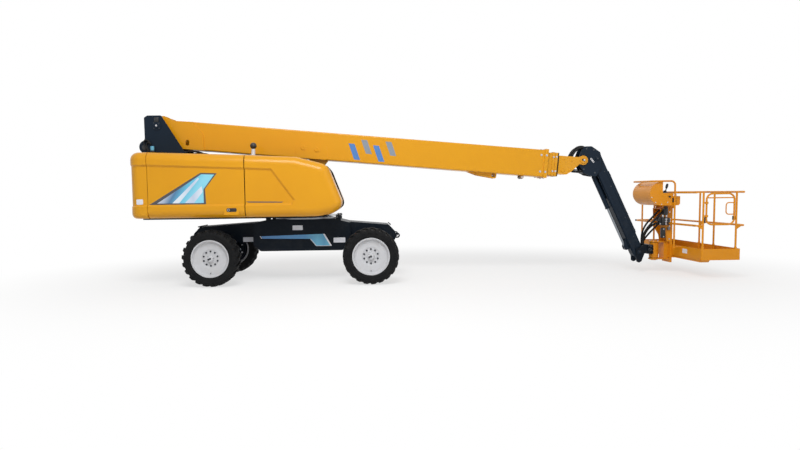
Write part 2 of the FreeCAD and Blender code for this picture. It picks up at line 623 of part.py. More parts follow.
def wear_pads(at, long, outer_tall, outer_wide, inner_tall, inner_wide, to_inner):
    """Four pads in the gap between two sections, fixed to one and clear of the other by slack."""
    pads = []
    over = f"({outer_tall} - 2 * boom_wall - {inner_tall}) / 2 - slack"
    beside = f"({outer_wide} - 2 * boom_wall - {inner_wide}) / 2 - slack"
    for sign in ("1", "-1"):
        high = f"{inner_tall} / 2 + ({over}) / 2" if to_inner else \
            f"{outer_tall} / 2 - boom_wall - ({over}) / 2"
        broad = f"{inner_wide} / 2 + ({beside}) / 2" if to_inner else \
            f"{outer_wide} / 2 - boom_wall - ({beside}) / 2"
        pads.append(box(long, f"{inner_wide} * 0.7", over, at, "0", f"boom_drop + {sign} * ({high})"))
        pads.append(box(long, beside, f"{inner_tall} * 0.6", at, f"{sign} * ({broad})", "boom_drop"))
    return pads


def lift_eye():
    """The rod eye of the lift cylinder in boom coordinates."""
    run = "(lift_eye_x - pivot_x)"
    fall = "(lift_eye_z - pivot_z)"
    return (f"({run} * cos(boom_droop) - {fall} * sin(boom_droop))",
            f"({run} * sin(boom_droop) + {fall} * cos(boom_droop))")


def boom_tail():
    """Thick cheeks round the pivot with a stepped top edge, and the hub between them."""
    under = "boom_drop - base_tall / 2"
    over = "boom_drop + base_tall / 2"
    points = [("-125", "-70"), ("-125", "60"), ("-20", "190"), ("76", "206"), ("173", "180"), ("254", "128"),
              ("629", f"{over} - 2"), ("640", "96"), ("825", "-78"), ("870", under), ("470", under),
              ("-40", "-145")]
    cheeks = [flat_rounded(points, "20", f"{side} * (base_wide / 2 + 10)", "50", (0, 1, 2, 8, 11))
              for side in SIDES.values()]
    return cheeks + [rod("120", "2 * channel_half - plate_thick - 16")]


def lift_lugs():
    """Pair of lugs for the lift cylinder under the section, with doubler plates on its sides above."""
    eye = lift_eye()
    under = "boom_drop - base_tall / 2"
    parts = []
    for side in SIDES.values():
        parts.append(flat_rounded([
            (f"{eye[0]} - 190", f"{under} + 2"), (f"{eye[0]} - 75", f"{eye[1]} - 72"),
            (f"{eye[0]} + 75", f"{eye[1]} - 72"), (f"{eye[0]} + 190", f"{under} + 2")],
            "25", f"{side} * 78", "70", (1, 2)))
        parts.append(rod("60", "18", eye[0], f"{side} * 99", eye[1]))
        beside = f"{side} * (base_wide / 2 + 5)"
        parts.append(flat_rounded([
            (f"{eye[0]} - 440", f"{under} + 6"), (f"{eye[0]} - 400", f"{under} + 288"),
            (f"{eye[0]} + 150", f"{under} + 278"), (f"{eye[0]} + 185", f"{under} + 6")],
            "10", beside, "35", (0, 1, 2, 3)))
        for run, rise in (("-289", "198"), ("-8", "189")):
            parts.append(rod("46", "18", f"{eye[0]} + {run}", f"{side} * (base_wide / 2 + 9)",
                             f"{under} + {rise}"))
    return parts


def boom_rest():
    """Rest bracket and hose roller under the front half of the base section."""
    under = "boom_drop - base_tall / 2"
    plates = [flat_rounded([
        ("5937", f"{under} + 2"), ("6145", f"{under} - 61"), ("6519", f"{under} - 99"),
        ("6527", f"{under} + 2")],
        "16", f"{side} * 90", "30", (2,), [("6463", f"{under} - 37", "25")]) for side in SIDES.values()]
    foot = box("200", "196", "12", "6400", "0", f"{under} - 70")
    ears = [box("60", "12", "50", "7027", f"{side} * 110", f"{under} - 24") for side in SIDES.values()]
    return plates + [foot, rod("26", "210", "7027", "0", f"{under} - 30"), *ears]


def base_boom():
    section = tube_section("base_start", "base_end", "base_tall", "base_wide")
    collar = cut(box("70", "base_wide + 30", "base_tall + 30", "base_end - 35", "0", "boom_drop"),
                 box("100", "base_wide - boom_wall", "base_tall - boom_wall", "base_end - 35", "0",
                     "boom_drop"))
    hole = join(rod("34", "600", "544", "0", "-242"), rod("34", "600", "544", "0", "-286"),
                box("68", "600", "44", "544", "0", "-264"))
    whole = join(section, collar, *boom_tail(), *lift_lugs(), *boom_rest(),
                 *wear_pads("base_end - 120", "220", "base_tall", "base_wide", MID_TALL, MID_WIDE, False))
    return cut(whole, rod("pin_radius + fit", "900"), hole)


def mid_boom():
    section = tube_section("mid_start", "mid_end", MID_TALL, MID_WIDE)
    return join(section,
                *wear_pads("mid_start + 110", "220", "base_tall", "base_wide", MID_TALL, MID_WIDE, True),
                *wear_pads("mid_end - 110", "200", MID_TALL, MID_WIDE, FLY_TALL, FLY_WIDE, False))


def fly_boom():
    """Inner section with tapered head cheeks and a round lug each side of the tip pin."""
    section = tube_section("fly_start", "tip_reach - 300", FLY_TALL, FLY_WIDE)
    over = f"boom_drop + {FLY_TALL} / 2"
    under = f"boom_drop - {FLY_TALL} / 2"
    parts = []
    for side in SIDES.values():
        at = f"{side} * ({FLY_WIDE} / 2 + 10)"
        parts += [
            flat_rounded([
                ("mid_end + 15", over), ("tip_reach - 100", over), ("tip_reach - 20", "88"),
                ("tip_reach", "90"),
                ("tip_reach", "-90"), ("tip_reach - 67", "-79"), ("tip_reach - 219", "-240"),
                ("tip_reach - 304", under), ("mid_end + 15", under)], "20", at, "30", (6, 7)),
            rod("90", "20", "tip_reach", at, "0"),
            rod("62", "16", "tip_reach", f"{side} * ({FLY_WIDE} / 2 + 28)", "0"),
            rod("34", "10", "mid_end + 110", f"{side} * ({FLY_WIDE} / 2 + 25)", f"{under} + 70")]
    pins = [rod("jib_pin + 5", f"{FLY_WIDE} + 40", "tip_reach", "0", "0"),
            rod("jib_pin", f"{FLY_WIDE} - boom_wall", "level_foot", "0", "boom_drop")]
    return join(section, *parts, *pins,
                *wear_pads("fly_start + 110", "200", MID_TALL, MID_WIDE, FLY_TALL, FLY_WIDE, True))


def boom():
    node("base_boom", base_boom(), "boom")
    node("mid_boom", mid_boom(), "boom")
    node("fly_boom", fly_boom(), "boom")


# ---------------------------------------------------------------- cylinders
def cylinder_pair(name, frame, foot, eye, bore, bar, barrel_share, rod_from, eye_half, foot_pin, foot_half):
    """Barrel and rod between two pins, each drawn along X and turned into place."""
    dx = f"({eye[0]} - {foot[0]})"
    dz = f"({eye[1]} - {foot[1]})"
    span = f"sqrt({dx} * {dx} + {dz} * {dz})"
    barrel_end = f"{span} * {barrel_share}"
    barrel = cut(join(rod(bore, f"{barrel_end} - {bore}", f"({barrel_end} + {bore}) / 2", "0", "0", "x"),
                      rod(f"{bore} * 1.12", f"{bore} * 0.6", f"{barrel_end} - {bore} * 0.3", "0", "0", "x"),
                      rod(f"{bore}", f"2 * {foot_half}", "0", "0", "0"),
                      box(f"{bore}", f"2 * {foot_half}", f"{bore}", f"{bore} * 0.9", "0", "0")),
                 rod(f"{foot_pin} + fit", f"3 * {foot_half}"),
                 rod(f"{bar} + fit", f"{span}", f"{span} / 2 + 1.4 * {bore}", "0", "0", "x"))
    stick = cut(join(rod(bar, f"{span} - {bar} - ({rod_from})", f"({span} - {bar} + {rod_from}) / 2", "0",
                         "0", "x"),
                     rod(f"{bar} * 1.25", f"2 * {eye_half}", span, "0", "0")),
                rod(f"{bar} * 0.6", f"3 * {eye_half}", span, "0", "0"))
    for label, item in ((f"{name}_barrel", barrel), (f"{name}_rod", stick)):
        node(label, item, frame)
        at_x, at_z, droop = FRAMES[frame]
        c = f"cos({droop})"
        s = f"sin({droop})"
        bind(item, Placement__Base__x=f"machine_x + {at_x} + {foot[0]} * {c} + {foot[1]} * {s}",
             Placement__Base__z=f"{at_z} - {foot[0]} * {s} + {foot[1]} * {c}",
             Placement__Rotation__Angle=f"{droop} - atan2({dz}; {dx}) / 1 deg")


LEVEL_EYE = ("(tip_reach + level_arm * cos(75))", "(-level_arm * sin(75))")


def cylinders():
    cylinder_pair("lift", "machine", ("lift_foot_x", "lift_foot_z"), ("lift_eye_x", "lift_eye_z"),
                  "lift_bore", "lift_rod", "0.9", "1.5 * lift_bore", "50", "pin_radius", "60")
    cylinder_pair("level", "boom", ("level_foot", "boom_drop"), LEVEL_EYE,
                  "level_bore", "level_rod_radius", "0.72", "370", "25", "jib_pin", "40")
    cylinder_pair("jib", "jib", jib_foot(), ("jib_eye_x", "jib_eye_z"),
                  "jib_bore", "jib_rod_radius", "0.46", "100", "24", "jib_pin", "34")


def jib_foot():
    """The jib cylinder's foot pin in jib coordinates."""
    return ("(jib_foot_dx * cos(jib_droop) - jib_foot_dz * sin(jib_droop))",
            "(jib_foot_dx * sin(jib_droop) + jib_foot_dz * cos(jib_droop))")


# ---------------------------------------------------------------- jib
BRACKET_Y = "(arm_wide / 2 + link_thick + 2 * side_gap)"


def bracket_plates(points, corners, holes=()):
    return [flat_rounded(points, "20", f"{side} * ({BRACKET_Y} + 10)", "38", corners, holes)
            for side in SIDES.values()]


def link_stubs(at_x, at_z):
    """Stub pins on the bracket plates for the levelling bars."""
    long = "(side_gap * 1.5 + link_thick + 20)"
    return [rod("20", long, at_x, f"{side} * ({BRACKET_Y} + 20 - {long} / 2)",
                at_z) for side in SIDES.values()]


def tip_bracket():
    """Cheek plates between the fly tip and the jib, with stub pins for what hangs on them."""
    foot = ("jib_dx + jib_foot_dx", "jib_dz + jib_foot_dz")
    points = [("-74", "-60"), ("20", "-240"), ("100", "-290"), (f"{foot[0]} + 20", f"{foot[1]} - 45"),
              (f"{foot[0]} + 60", f"{foot[1]} + 20"), ("jib_dx + 78", "jib_dz - link_drop"),
              ("jib_dx + 82", "jib_dz + 20"), ("jib_dx + 55", "jib_dz + 125"), ("170", "272"), ("42", "270"),
              ("-24", "200"), ("-76", "60")]
    plates = bracket_plates(points, (0, 2, 3, 7, 8, 9, 11), [("0", "0", "jib_pin + 5 + fit")])
    wide = f"2 * ({BRACKET_Y} + 20)"
    pins = [rod("jib_pin", wide, "jib_dx", "0", "jib_dz"), rod("jib_pin", wide, foot[0], "0", foot[1])]
    caps = [rod("44", "10", "jib_dx", f"{side} * ({BRACKET_Y} + 25)", "jib_dz") for side in SIDES.values()]
    level = level_eye()
    ears = [rod("40", f"{BRACKET_Y} - 33", level[0], f"{side} * ({BRACKET_Y} + 33) / 2", level[1])
            for side in SIDES.values()]
    web = box("16", wide, "150", "130", "0", "190")
    return join(*plates, *pins, *caps, *link_stubs("jib_dx", "jib_dz - link_drop"), *ears, web)


def level_eye():
    """The levelling rod's eye seen from the fly tip, with the bracket upright."""
    return ("(level_arm * cos(75 + boom_droop))", "(-level_arm * sin(75 + boom_droop))")


def jib_arm():
    """Box arm with rounded ends, lugs for its cylinder and a slot that takes the barrel when it is raised."""
    half = "arm_deep / 2"
    shell = cut(box("jib_length", "arm_wide", "arm_deep", "jib_length / 2", "0", "0"),
                box("jib_length - 300", "arm_wide - 16", "arm_deep - 16", "jib_length / 2", "0", "0"))
    ends = [rod(half, "arm_wide", place, "0", "0") for place in ("0", "jib_length")]
    lugs = []
    for side in SIDES.values():
        lugs.append(flat_rounded([
            ("jib_eye_x - 200", f"-({half}) + 5"), ("jib_eye_x - 45", "jib_eye_z - 38"),
            ("jib_eye_x + 35", "jib_eye_z - 38"), ("jib_eye_x + 45", f"-({half}) + 40")],
            "14", f"{side} * 39", "30", (1, 2)))
        lugs.append(rod("28", "14", "jib_eye_x", f"{side} * 53", "jib_eye_z"))
    return cut(join(shell, *ends, *lugs), rod("jib_pin + fit", "400"),
               rod("jib_pin + fit", "400", "jib_length", "0", "0"),
               box("900", "110", "60", "320", "0", f"10 - {half}"),
               rod("55", "60", "770", "0", f"10 - {half}", "z"))


def jib_link():
    """The pair of levelling bars beside the arm, holed for their stub pins."""
    bars = []
    for side in SIDES.values():
        at_y = f"{side} * (arm_wide / 2 + side_gap + link_thick / 2)"
        bar = join(box("jib_length", "link_thick", "link_wide", "jib_length / 2", at_y, "0"),
                   *[rod("link_wide / 2 + 8", "link_thick", place, at_y, "0") for place in ("0",
                                                                                            "jib_length")])
        bars.append(cut(bar, rod("20 + fit", "60", "0", at_y, "0"), rod("23", "60", "jib_length", at_y, "0")))
    return join(*bars)


def platform_bracket():
    """Ears round the jib's lower end, their back block and the rotator housing."""
    points = [("-55", "60"), ("-60", "0"), ("-45", "-link_drop - 20"), ("0", "-link_drop - 50"),
              ("52", "-link_drop - 20"), ("110", "-35"), ("240", "-35"), ("240", "140"), ("100", "140"),
              ("0", "74")]
    plates = bracket_plates(points, (3, 6, 7))
    wide = f"2 * ({BRACKET_Y} + 20)"
    pin = rod("jib_pin", wide)
    caps = [rod("44", "10", "0", f"{side} * ({BRACKET_Y} + 25)", "0") for side in SIDES.values()]
    block = box("90", wide, "175", "195", "0", "52.5")
    housing = rod("80", "320", "swing_x", "0", "20", "z")
    neck = box("swing_x - 200", "150", "180", "(swing_x + 200) / 2", "0", "40")
    return cut(join(*plates, pin, *caps, *link_stubs("0", "-link_drop"), block, housing, neck),
               rod("30 + fit", "400", "swing_x", "0", "20", "z"))


def jib():
    node("tip_bracket", tip_bracket(), "bracket")
    node("jib_arm", jib_arm(), "jib")
    node("jib_link", jib_link(), "jib", "0", "0", "-link_drop")
    node("platform_bracket", platform_bracket(), "cage")


# ---------------------------------------------------------------- platform
POST_X = "(cage_back + sheet_wall + post_tube + 2)"
EDGE = "(cage_half - sheet_wall - post_tube - 2)"
LONG = "(cage_front - cage_back)"
MIDDLE = "((cage_front + cage_back) / 2)"
GATE_FRONT = "(front_post - post_tube - gate_tube - 8)"
GATE_LOW = "mid_rail + gate_tube"
GATE_HIGH = "top_rail - 25"


def tray_blank(inset, corner, low, high):
    slab = plate("plan", [
        (f"cage_back + {inset}", f"-(cage_half - {inset})"),
        (f"cage_front - {inset}", f"-(cage_half - {inset})"),
        (f"cage_front - {inset}", f"cage_half - {inset}"), (f"cage_back + {inset}", f"cage_half - {inset}")],
        f"{high} - ({low})", f"({high} + {low}) / 2")
    return rounded(slab, corner, *[(f"{x} + {sign} * {inset}", f"{side} * (cage_half - {inset})", low)
                                   for x, sign in (("cage_back", "1"), ("cage_front", "-1"))
                                   for side in SIDES.values()])


def platform_floor():
    """Folded tray with upright toe boards all round, on a cross beam."""
    tray = cut(tray_blank("0", "20", "floor_z - pan_thick", "toe_top"),
               tray_blank("sheet_wall", "20 - sheet_wall", "floor_z", "toe_top + 20"))
    beams = [plate("end", [
        (f"{side} * 150", "floor_z - pan_thick"), (f"{side} * (cage_half - 25)", "floor_z - pan_thick"),
        (f"{side} * (cage_half - 75)", "floor_z - pan_thick - 45"),
        (f"{side} * 150", "floor_z - pan_thick - 45")],
        "150", "cage_back + 95") for side in SIDES.values()]
    return join(tray, *beams)


def rail_gussets(level):
    """Brackets that carry the rails clear of the posts."""
    parts = []
    for post, rail, spots in ((POST_X, "back_rail", (f"-{EDGE}",)),
                              ("front_post", "front_rail", (f"-{EDGE}", "0"))):
        for y in spots:
            parts.append(rod("strut", f"abs({rail} - {post})", f"({rail} + {post}) / 2", y, level, "x"))
            if level == "mid_rail":
                parts.append(plate("side", [(post, f"{level} - 80"), (post, level), (rail, level)], "8", y))
    return parts


def platform_rails():
    """Bent tube rails that stand clear of the posts, hinge rings for the gate and the console guard."""
    rail_end = f"-({EDGE} + 16)"
    far = [("front_rail", rail_end), ("front_rail", EDGE), ("back_rail", EDGE)]
    tubes = [bent_tube([(x, y, "top_rail") for x, y in far] + [("back_rail", rail_end, "top_rail")], "tube",
                       "90"),
             bent_tube([(x, y, "mid_rail") for x, y in far] + [("back_rail", "mast_half + 6", "mid_rail")],
                       "tube", "90"),
             rod("tube", f"{EDGE} + 16 - mast_half - 6", "back_rail", f"-({EDGE} + 16 + mast_half + 6) / 2",
                 "mid_rail")]
    tall = "top_rail - floor_z"
    for x, spots in ((POST_X, (f"-{EDGE}", EDGE)), ("front_post", (f"-{EDGE}", "0", EDGE))):
        tubes += [rod("post_tube", tall, x, y, "(top_rail + floor_z) / 2", "z") for y in spots]
    tubes += rail_gussets("mid_rail") + rail_gussets("top_rail")
    hoop = "(back_rail - 15)"
    tubes.append(bent_tube([(hoop, "-hoop_near", "90"), (hoop, "-hoop_near", "hoop_top"),
                            ("hoop_back", "-hoop_near", "hoop_top"), ("hoop_back", "hoop_far", "hoop_top"),
                            (hoop, "hoop_far", "hoop_top"), (hoop, "hoop_far", "90")], "post_tube", "80"))
    tubes += [rod("strut", f"cage_back - {hoop}", f"(cage_back + {hoop}) / 2", y, "toe_top - 25", "x")
              for y in ("-hoop_near", "hoop_far")]
    for level in ("mid_rail + 170", "top_rail - 190"):
        tubes.append(cut(join(rod("gate_tube + 9", "26", "gate_back", f"-{EDGE}", level, "z"),
                              box(f"gate_back - {POST_X}", "16", "20", f"(gate_back + {POST_X}) / 2",
                                  f"-{EDGE}", level)),
                         rod("gate_tube + fit", "60", "gate_back", f"-{EDGE}", level, "z")))
    return join(*tubes)


def platform_mast():
    """Clevis round the rotator housing, gusseted mast and the beams that carry the floor."""
    parts = []
    for side in ("1", "-1"):
        z = f"20 + {side} * (170 + slack)"
        parts += [rod("100", "20", "swing_x", "0", z, "z"),
                  plate("plan", [("swing_x", "-100"), ("cage_back - 90", "-100"),
                                 ("cage_back - 40", "-mast_half"),
                                 ("cage_back - 40", "mast_half"), ("cage_back - 90", "100"),
                                 ("swing_x", "100")],
                        "20", z)]
    parts.append(box("95", "200", "340 + 2 * slack", "cage_back - 87", "0", "20"))
    parts.append(box("40", "2 * mast_half + 12", "mast_top + 215", "cage_back - 20", "0",
                     "(mast_top - 215) / 2"))
    for side in SIDES.values():
        parts.append(flat_rounded([
            ("cage_back - 40", "200"), ("cage_back - 40", "mast_top"), ("swing_x + 40", "mast_top"),
            ("swing_x + 60", "480"), ("cage_back - 130", "320"), ("cage_back - 110", "200")],
            "12", f"{side} * mast_half", "40", (3, 4)))
    parts.append(box("cage_back - swing_x - 80", "2 * mast_half + 12", "12", "(cage_back + swing_x) / 2", "0",
                     "mast_top - 6"))
    parts += [box(f"{LONG} + 40", "80", "55", f"{MIDDLE} - 40", f"{side} * 110", "floor_z - pan_thick - 27.5")
              for side in SIDES.values()]
    parts.append(rod("30", "380", "swing_x", "0", "20", "z"))
    return join(*parts)


def console():
    """Open-fronted drum over the control panel, its end plates carried on to a shelf over the mast."""
    shell = cut(rod("drum_radius", "drum_long", "drum_x", "drum_y", "drum_z"),
                rod("drum_radius - 6", "drum_long - 12", "drum_x", "drum_y", "drum_z"),
                box("300", "drum_long + 10", "300", "drum_x + 170", "drum_y", "drum_z + 160"))
    panel = box("2 * drum_radius - 16", "drum_long - 6", "14", "drum_x", "drum_y", "drum_z - 10")
    brackets = [plate("side", [
        ("swing_x + 60", "mast_top + 12"), ("cage_back - 12", "mast_top + 12"),
        ("cage_back - 12", "drum_z - 60"),
        ("drum_x + 0.9 * drum_radius", "drum_z - 60"),
        ("drum_x + 0.5 * drum_radius", "drum_z - 0.84 * drum_radius")],
        "8", f"drum_y + {side} * 140")
        for side in SIDES.values()]
    ends = [plate("side", [
        ("drum_x", "drum_z - drum_radius"), ("cage_back - 40", "drum_z - drum_radius"),
        ("cage_back - 12", "drum_z - drum_radius + 28"), ("cage_back - 12", "drum_z - 60"),
        ("drum_x", "drum_z - 60")],
        "6", f"drum_y + {side} * (drum_long / 2 - 3)") for side in SIDES.values()]
    shelf = box("cage_back - drum_x - 212", "drum_long - 6", "8", "(cage_back + drum_x + 188) / 2", "drum_y",
                "drum_z - 56")
    base = box("cage_back - swing_x - 72", "320", "12", "(cage_back + swing_x + 48) / 2", "drum_y",
               "mast_top + 6")
    return join(shell, panel, *brackets, *ends, shelf, base)


def gate():
    """Swing gate: a rounded tube loop with a bar under its top run and a D-shaped handle."""
    half = [("(gate_back + 300)", f"-{EDGE}", GATE_LOW), ("gate_back", f"-{EDGE}", GATE_LOW),
            ("gate_back", f"-{EDGE}", GATE_HIGH), ("(gate_back + 300)", f"-{EDGE}", GATE_HIGH)]
    other = [(half[0][0], *half[0][1:]), (GATE_FRONT, *half[1][1:]), (GATE_FRONT, *half[2][1:]),
             (half[3][0], *half[3][1:])]
    long = f"({GATE_FRONT} - gate_back)"
    bar = rod("11", long, f"gate_back + {long} / 2", f"-{EDGE}", "top_rail - 100", "x")
    handle = bent_tube([(GATE_FRONT, f"-{EDGE}", "top_rail - 190"),
                        (f"{GATE_FRONT} - 150", f"-{EDGE}", "top_rail - 190"),
                        (f"{GATE_FRONT} - 150", f"-{EDGE}", "top_rail - 400"),
                        (GATE_FRONT, f"-{EDGE}", "top_rail - 400")], "10", "50")
    return join(bent_tube(half, "gate_tube", "110"), bent_tube(other, "gate_tube", "110"), bar, handle)


def platform():
    node("platform_floor", platform_floor(), "cage")
    node("platform_rails", platform_rails(), "cage")
    node("platform_mast", platform_mast(), "cage")
    node("console", console(), "cage")
    node("gate", gate(), "cage")


for build in (running_gear, turntable, boom, cylinders, jib, platform):
    build()
doc.recompute()
failed = [item.Label for item in doc.Objects if {"Invalid", "Error"} & set(item.State)]
broken = [name for name, item in NODES.items() if item.Shape.isNull() or not item.Shape.isValid()]
if failed or broken:
    raise SystemExit(f"failed: {failed} broken: {broken}")
os.makedirs("parts", exist_ok=True)
for name, item in NODES.items():
    item.Shape.exportStep(f"parts/{name}.step")
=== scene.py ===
import json
import math
import bpy
import bmesh
from mathutils import Matrix, Vector


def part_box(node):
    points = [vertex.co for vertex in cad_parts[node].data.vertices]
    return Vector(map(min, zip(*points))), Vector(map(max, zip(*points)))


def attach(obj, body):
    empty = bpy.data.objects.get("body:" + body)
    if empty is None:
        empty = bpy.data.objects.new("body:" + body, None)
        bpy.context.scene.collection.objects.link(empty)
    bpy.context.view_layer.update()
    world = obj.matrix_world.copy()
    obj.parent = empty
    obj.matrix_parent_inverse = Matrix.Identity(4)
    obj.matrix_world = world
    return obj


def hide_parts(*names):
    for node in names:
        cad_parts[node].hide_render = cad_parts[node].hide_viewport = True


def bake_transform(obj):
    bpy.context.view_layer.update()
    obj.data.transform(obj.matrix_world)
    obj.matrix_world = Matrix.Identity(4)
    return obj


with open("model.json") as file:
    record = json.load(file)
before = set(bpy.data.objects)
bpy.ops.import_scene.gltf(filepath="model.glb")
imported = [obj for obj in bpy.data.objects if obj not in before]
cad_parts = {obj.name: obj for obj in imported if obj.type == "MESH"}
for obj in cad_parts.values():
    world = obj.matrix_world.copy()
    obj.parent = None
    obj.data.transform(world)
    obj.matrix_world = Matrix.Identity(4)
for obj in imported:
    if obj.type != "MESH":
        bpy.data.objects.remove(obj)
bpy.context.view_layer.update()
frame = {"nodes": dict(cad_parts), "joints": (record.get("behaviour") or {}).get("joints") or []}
nodes = frame["nodes"]
pins = {joint["name"]: Vector(joint["pos_m"]) for joint in frame["joints"] if "pos_m" in joint}
slides = {joint["name"]: Vector(joint["axis"]) for joint in frame["joints"] if joint["type"] == "slide"}
print("frame loaded:", len(nodes), "nodes")


def hexColour(text):
    # sRGB hex to the linear values that the shaders take
    parts = [int(text[at:at + 2], 16) / 255 for at in (0, 2, 4)]
    return [part / 12.92 if part < 0.04045 else ((part + 0.055) / 1.055) ** 2.4 for part in parts] + [1]


def addNode(tree, kind, settings=None, links=None):
    # one node with its settings, its own input values and its links from other nodes' sockets
    made = tree.nodes.new(kind)
    for name, value in (settings or {}).items():
        if isinstance(name, int) or name in made.inputs:
            made.inputs[name].default_value = value
        else:
            setattr(made, name, value)
    for name, source in (links or {}).items():
        tree.links.new(source, made.inputs[name])
    return made


# view, light and floor
wheelMiddle = (pins["roll_steer_left"].x + pins["roll_drive_left"].x) / 2
cameraSetup = {
    "place": (wheelMiddle + 1.18, -12.2425, 1.64),
    "yaw": 1.532, "pitch": 4.136, "roll": -0.718,
    "lens": 27.97, "sensor": 36, "shift": (0.0333, 0.0163),
}


def placeCamera(setup):
    data = bpy.data.cameras.new("view")
    data.lens = setup["lens"]
    data.sensor_width = setup["sensor"]
    data.shift_x, data.shift_y = setup["shift"]
    camera = bpy.data.objects.new("view", data)
    bpy.context.collection.objects.link(camera)
    turn = (Matrix.Rotation(math.radians(-setup["yaw"]), 4, "Z")
            @ Matrix.Rotation(math.radians(90 - setup["pitch"]), 4, "X")
            @ Matrix.Rotation(math.radians(setup["roll"]), 4, "Z"))
    camera.matrix_world = Matrix.Translation(setup["place"]) @ turn
    bpy.context.scene.camera = camera


lampSetup = [
    {"name": "keyLamp", "place": (-2, -8, 9), "size": 5, "watts": 840},
    {"name": "fillLamp", "place": (9, -9, 5), "size": 8, "watts": 170},
    {"name": "backLamp", "place": (0, 9, 8), "size": 10, "watts": 180},
]


def placeLamps(lamps, target):
    for lamp in lamps:
        data = bpy.data.lights.new(lamp["name"], "AREA")
        data.size = lamp["size"]
        data.energy = lamp["watts"]
        made = bpy.data.objects.new(lamp["name"], data)
        bpy.context.collection.objects.link(made)
        place = Vector(lamp["place"])
        made.matrix_world = (Matrix.Translation(place)
                             @ (target - place).to_track_quat("-Z", "Y").to_matrix().to_4x4())


floorSetup = {"half": 60, "colour": "F2F2F2", "near": 3.2, "far": 7.5, "least": 0.62, "skyLight": 0.34}


def makeFloor(setup):
    # matt sweep: shaded close to the machine, plain white paper further out
    mesh = bpy.data.meshes.new("floor")
    work = bmesh.new()
    bmesh.ops.create_grid(work, x_segments=1, y_segments=1, size=setup["half"])
    work.to_mesh(mesh)
    work.free()
    floor = bpy.data.objects.new("floor", mesh)
    bpy.context.collection.objects.link(floor)
    material = bpy.data.materials.new("studioPaper")
    material.use_nodes = True
    tree = material.node_tree
    shader = tree.nodes["Principled BSDF"]
    shader.inputs["Base Color"].default_value = hexColour(setup["colour"])
    shader.inputs["Roughness"].default_value = 0.9
    shader.inputs["Specular IOR Level"].default_value = 0.1
    reach = addNode(tree, "ShaderNodeVectorMath", {"operation": "LENGTH"},
                    {0: addNode(tree, "ShaderNodeMapping", {"Scale": (0.8, 1, 1)},
                                {"Vector": addNode(tree, "ShaderNodeTexCoord").outputs["Object"]}).outputs[0]})
    away = addNode(tree, "ShaderNodeMapRange", {"interpolation_type": "SMOOTHSTEP", "From Min": setup["near"],
                                                "From Max": setup["far"], "To Min": setup["least"]},
                   {"Value": reach.outputs["Value"]})
    paper = addNode(tree, "ShaderNodeEmission", {"Color": hexColour("FFFFFF"), "Strength": 1.0})
    blend = addNode(tree, "ShaderNodeMixShader", links={
        0: addNode(tree, "ShaderNodeMath", {"operation": "MULTIPLY"},
                   {0: away.outputs[0], 1: seenRays(tree)}).outputs[0],
        1: shader.outputs[0], 2: paper.outputs[0]})
    tree.links.new(blend.outputs[0], tree.nodes["Material Output"].inputs["Surface"])
    mesh.materials.append(material)


def seenRays(tree):
    # one for rays from the eye, off metal or through glass, nought for the light itself
    paths = addNode(tree, "ShaderNodeLightPath")
    first = addNode(tree, "ShaderNodeMath", {"operation": "MAXIMUM"},
                    {0: paths.outputs["Is Camera Ray"], 1: paths.outputs["Is Transmission Ray"]})
    return addNode(tree, "ShaderNodeMath", {"operation": "MAXIMUM"},
                   {0: first.outputs[0], 1: paths.outputs["Is Glossy Ray"]}).outputs[0]


def makeSky(setup):
    world = bpy.data.worlds.new("studio")
    bpy.context.scene.world = world
    world.use_nodes = True
    tree = world.node_tree
    light = tree.nodes["Background"]
    light.inputs["Color"].default_value = hexColour("FFFFFF")
    light.inputs["Strength"].default_value = setup["skyLight"]
    paper = addNode(tree, "ShaderNodeBackground", {"Color": hexColour("FFFFFF"), "Strength": 1.0})
    mixed = addNode(tree, "ShaderNodeMixShader", links={0: seenRays(tree), 1: light.outputs[0],
                                                        2: paper.outputs[0]})
    tree.links.new(mixed.outputs[0], tree.nodes["World Output"].inputs["Surface"])


placeCamera(cameraSetup)
placeLamps(lampSetup, Vector((0, 0, 1.2)))
makeFloor(floorSetup)
makeSky(floorSetup)
bpy.context.scene.view_settings.view_transform = "Standard"
print("view, light and floor done")


# finishes
def startFinish(name, settings):
    material = bpy.data.materials.new(name)
    material.use_nodes = True
    tree = material.node_tree
    shader = tree.nodes["Principled BSDF"]
    for socket, value in settings.items():
        shader.inputs[socket].default_value = value
    return material, tree, shader, addNode(tree, "ShaderNodeTexCoord").outputs["Object"]


def bumpFrom(tree, shader, height, distance, strength=0.3):
    bump = addNode(tree, "ShaderNodeBump", {"Strength": strength, "Distance": distance}, {"Height": height})
    tree.links.new(bump.outputs[0], shader.inputs["Normal"])


def mixColours(tree, share, first, second):
    return addNode(tree, "ShaderNodeMix", {"data_type": "RGBA", 6: hexColour(first), 7: hexColour(second)},
                   {0: share}).outputs[2]


# sprayed two-coat enamel on welded steel: deep even colour under a clear gloss, with the faint
# swell of sprayed paint; the swell is 2 mm on the real surface and drawn 40 mm wide so that it shows
enamelLooks = {
    "boomEnamel": {"colour": "DF9E12", "shade": "D6930E", "dust": "C9A565", "rough": 0.34,
                   "shine": 0.22, "coat": 0.2},
    "cageEnamel": {"colour": "E49516", "shade": "D88A0E", "dust": "C08A45", "rough": 0.36,
                   "shine": 0.22, "coat": 0.08},
    "frameEnamel": {"colour": "0F1822", "shade": "0B131C", "dust": "4A4A48", "rough": 0.42,
                    "shine": 0.10, "coat": 0.02},
    "riserEnamel": {"colour": "1A2634", "shade": "15202C", "dust": "565A5E", "rough": 0.42,
                    "shine": 0.10, "coat": 0.02},
    "rimEnamel": {"colour": "CDCED1", "shade": "C2C3C7", "dust": "A9A59B", "rough": 0.38,
                  "shine": 0.3, "coat": 0.1},
}


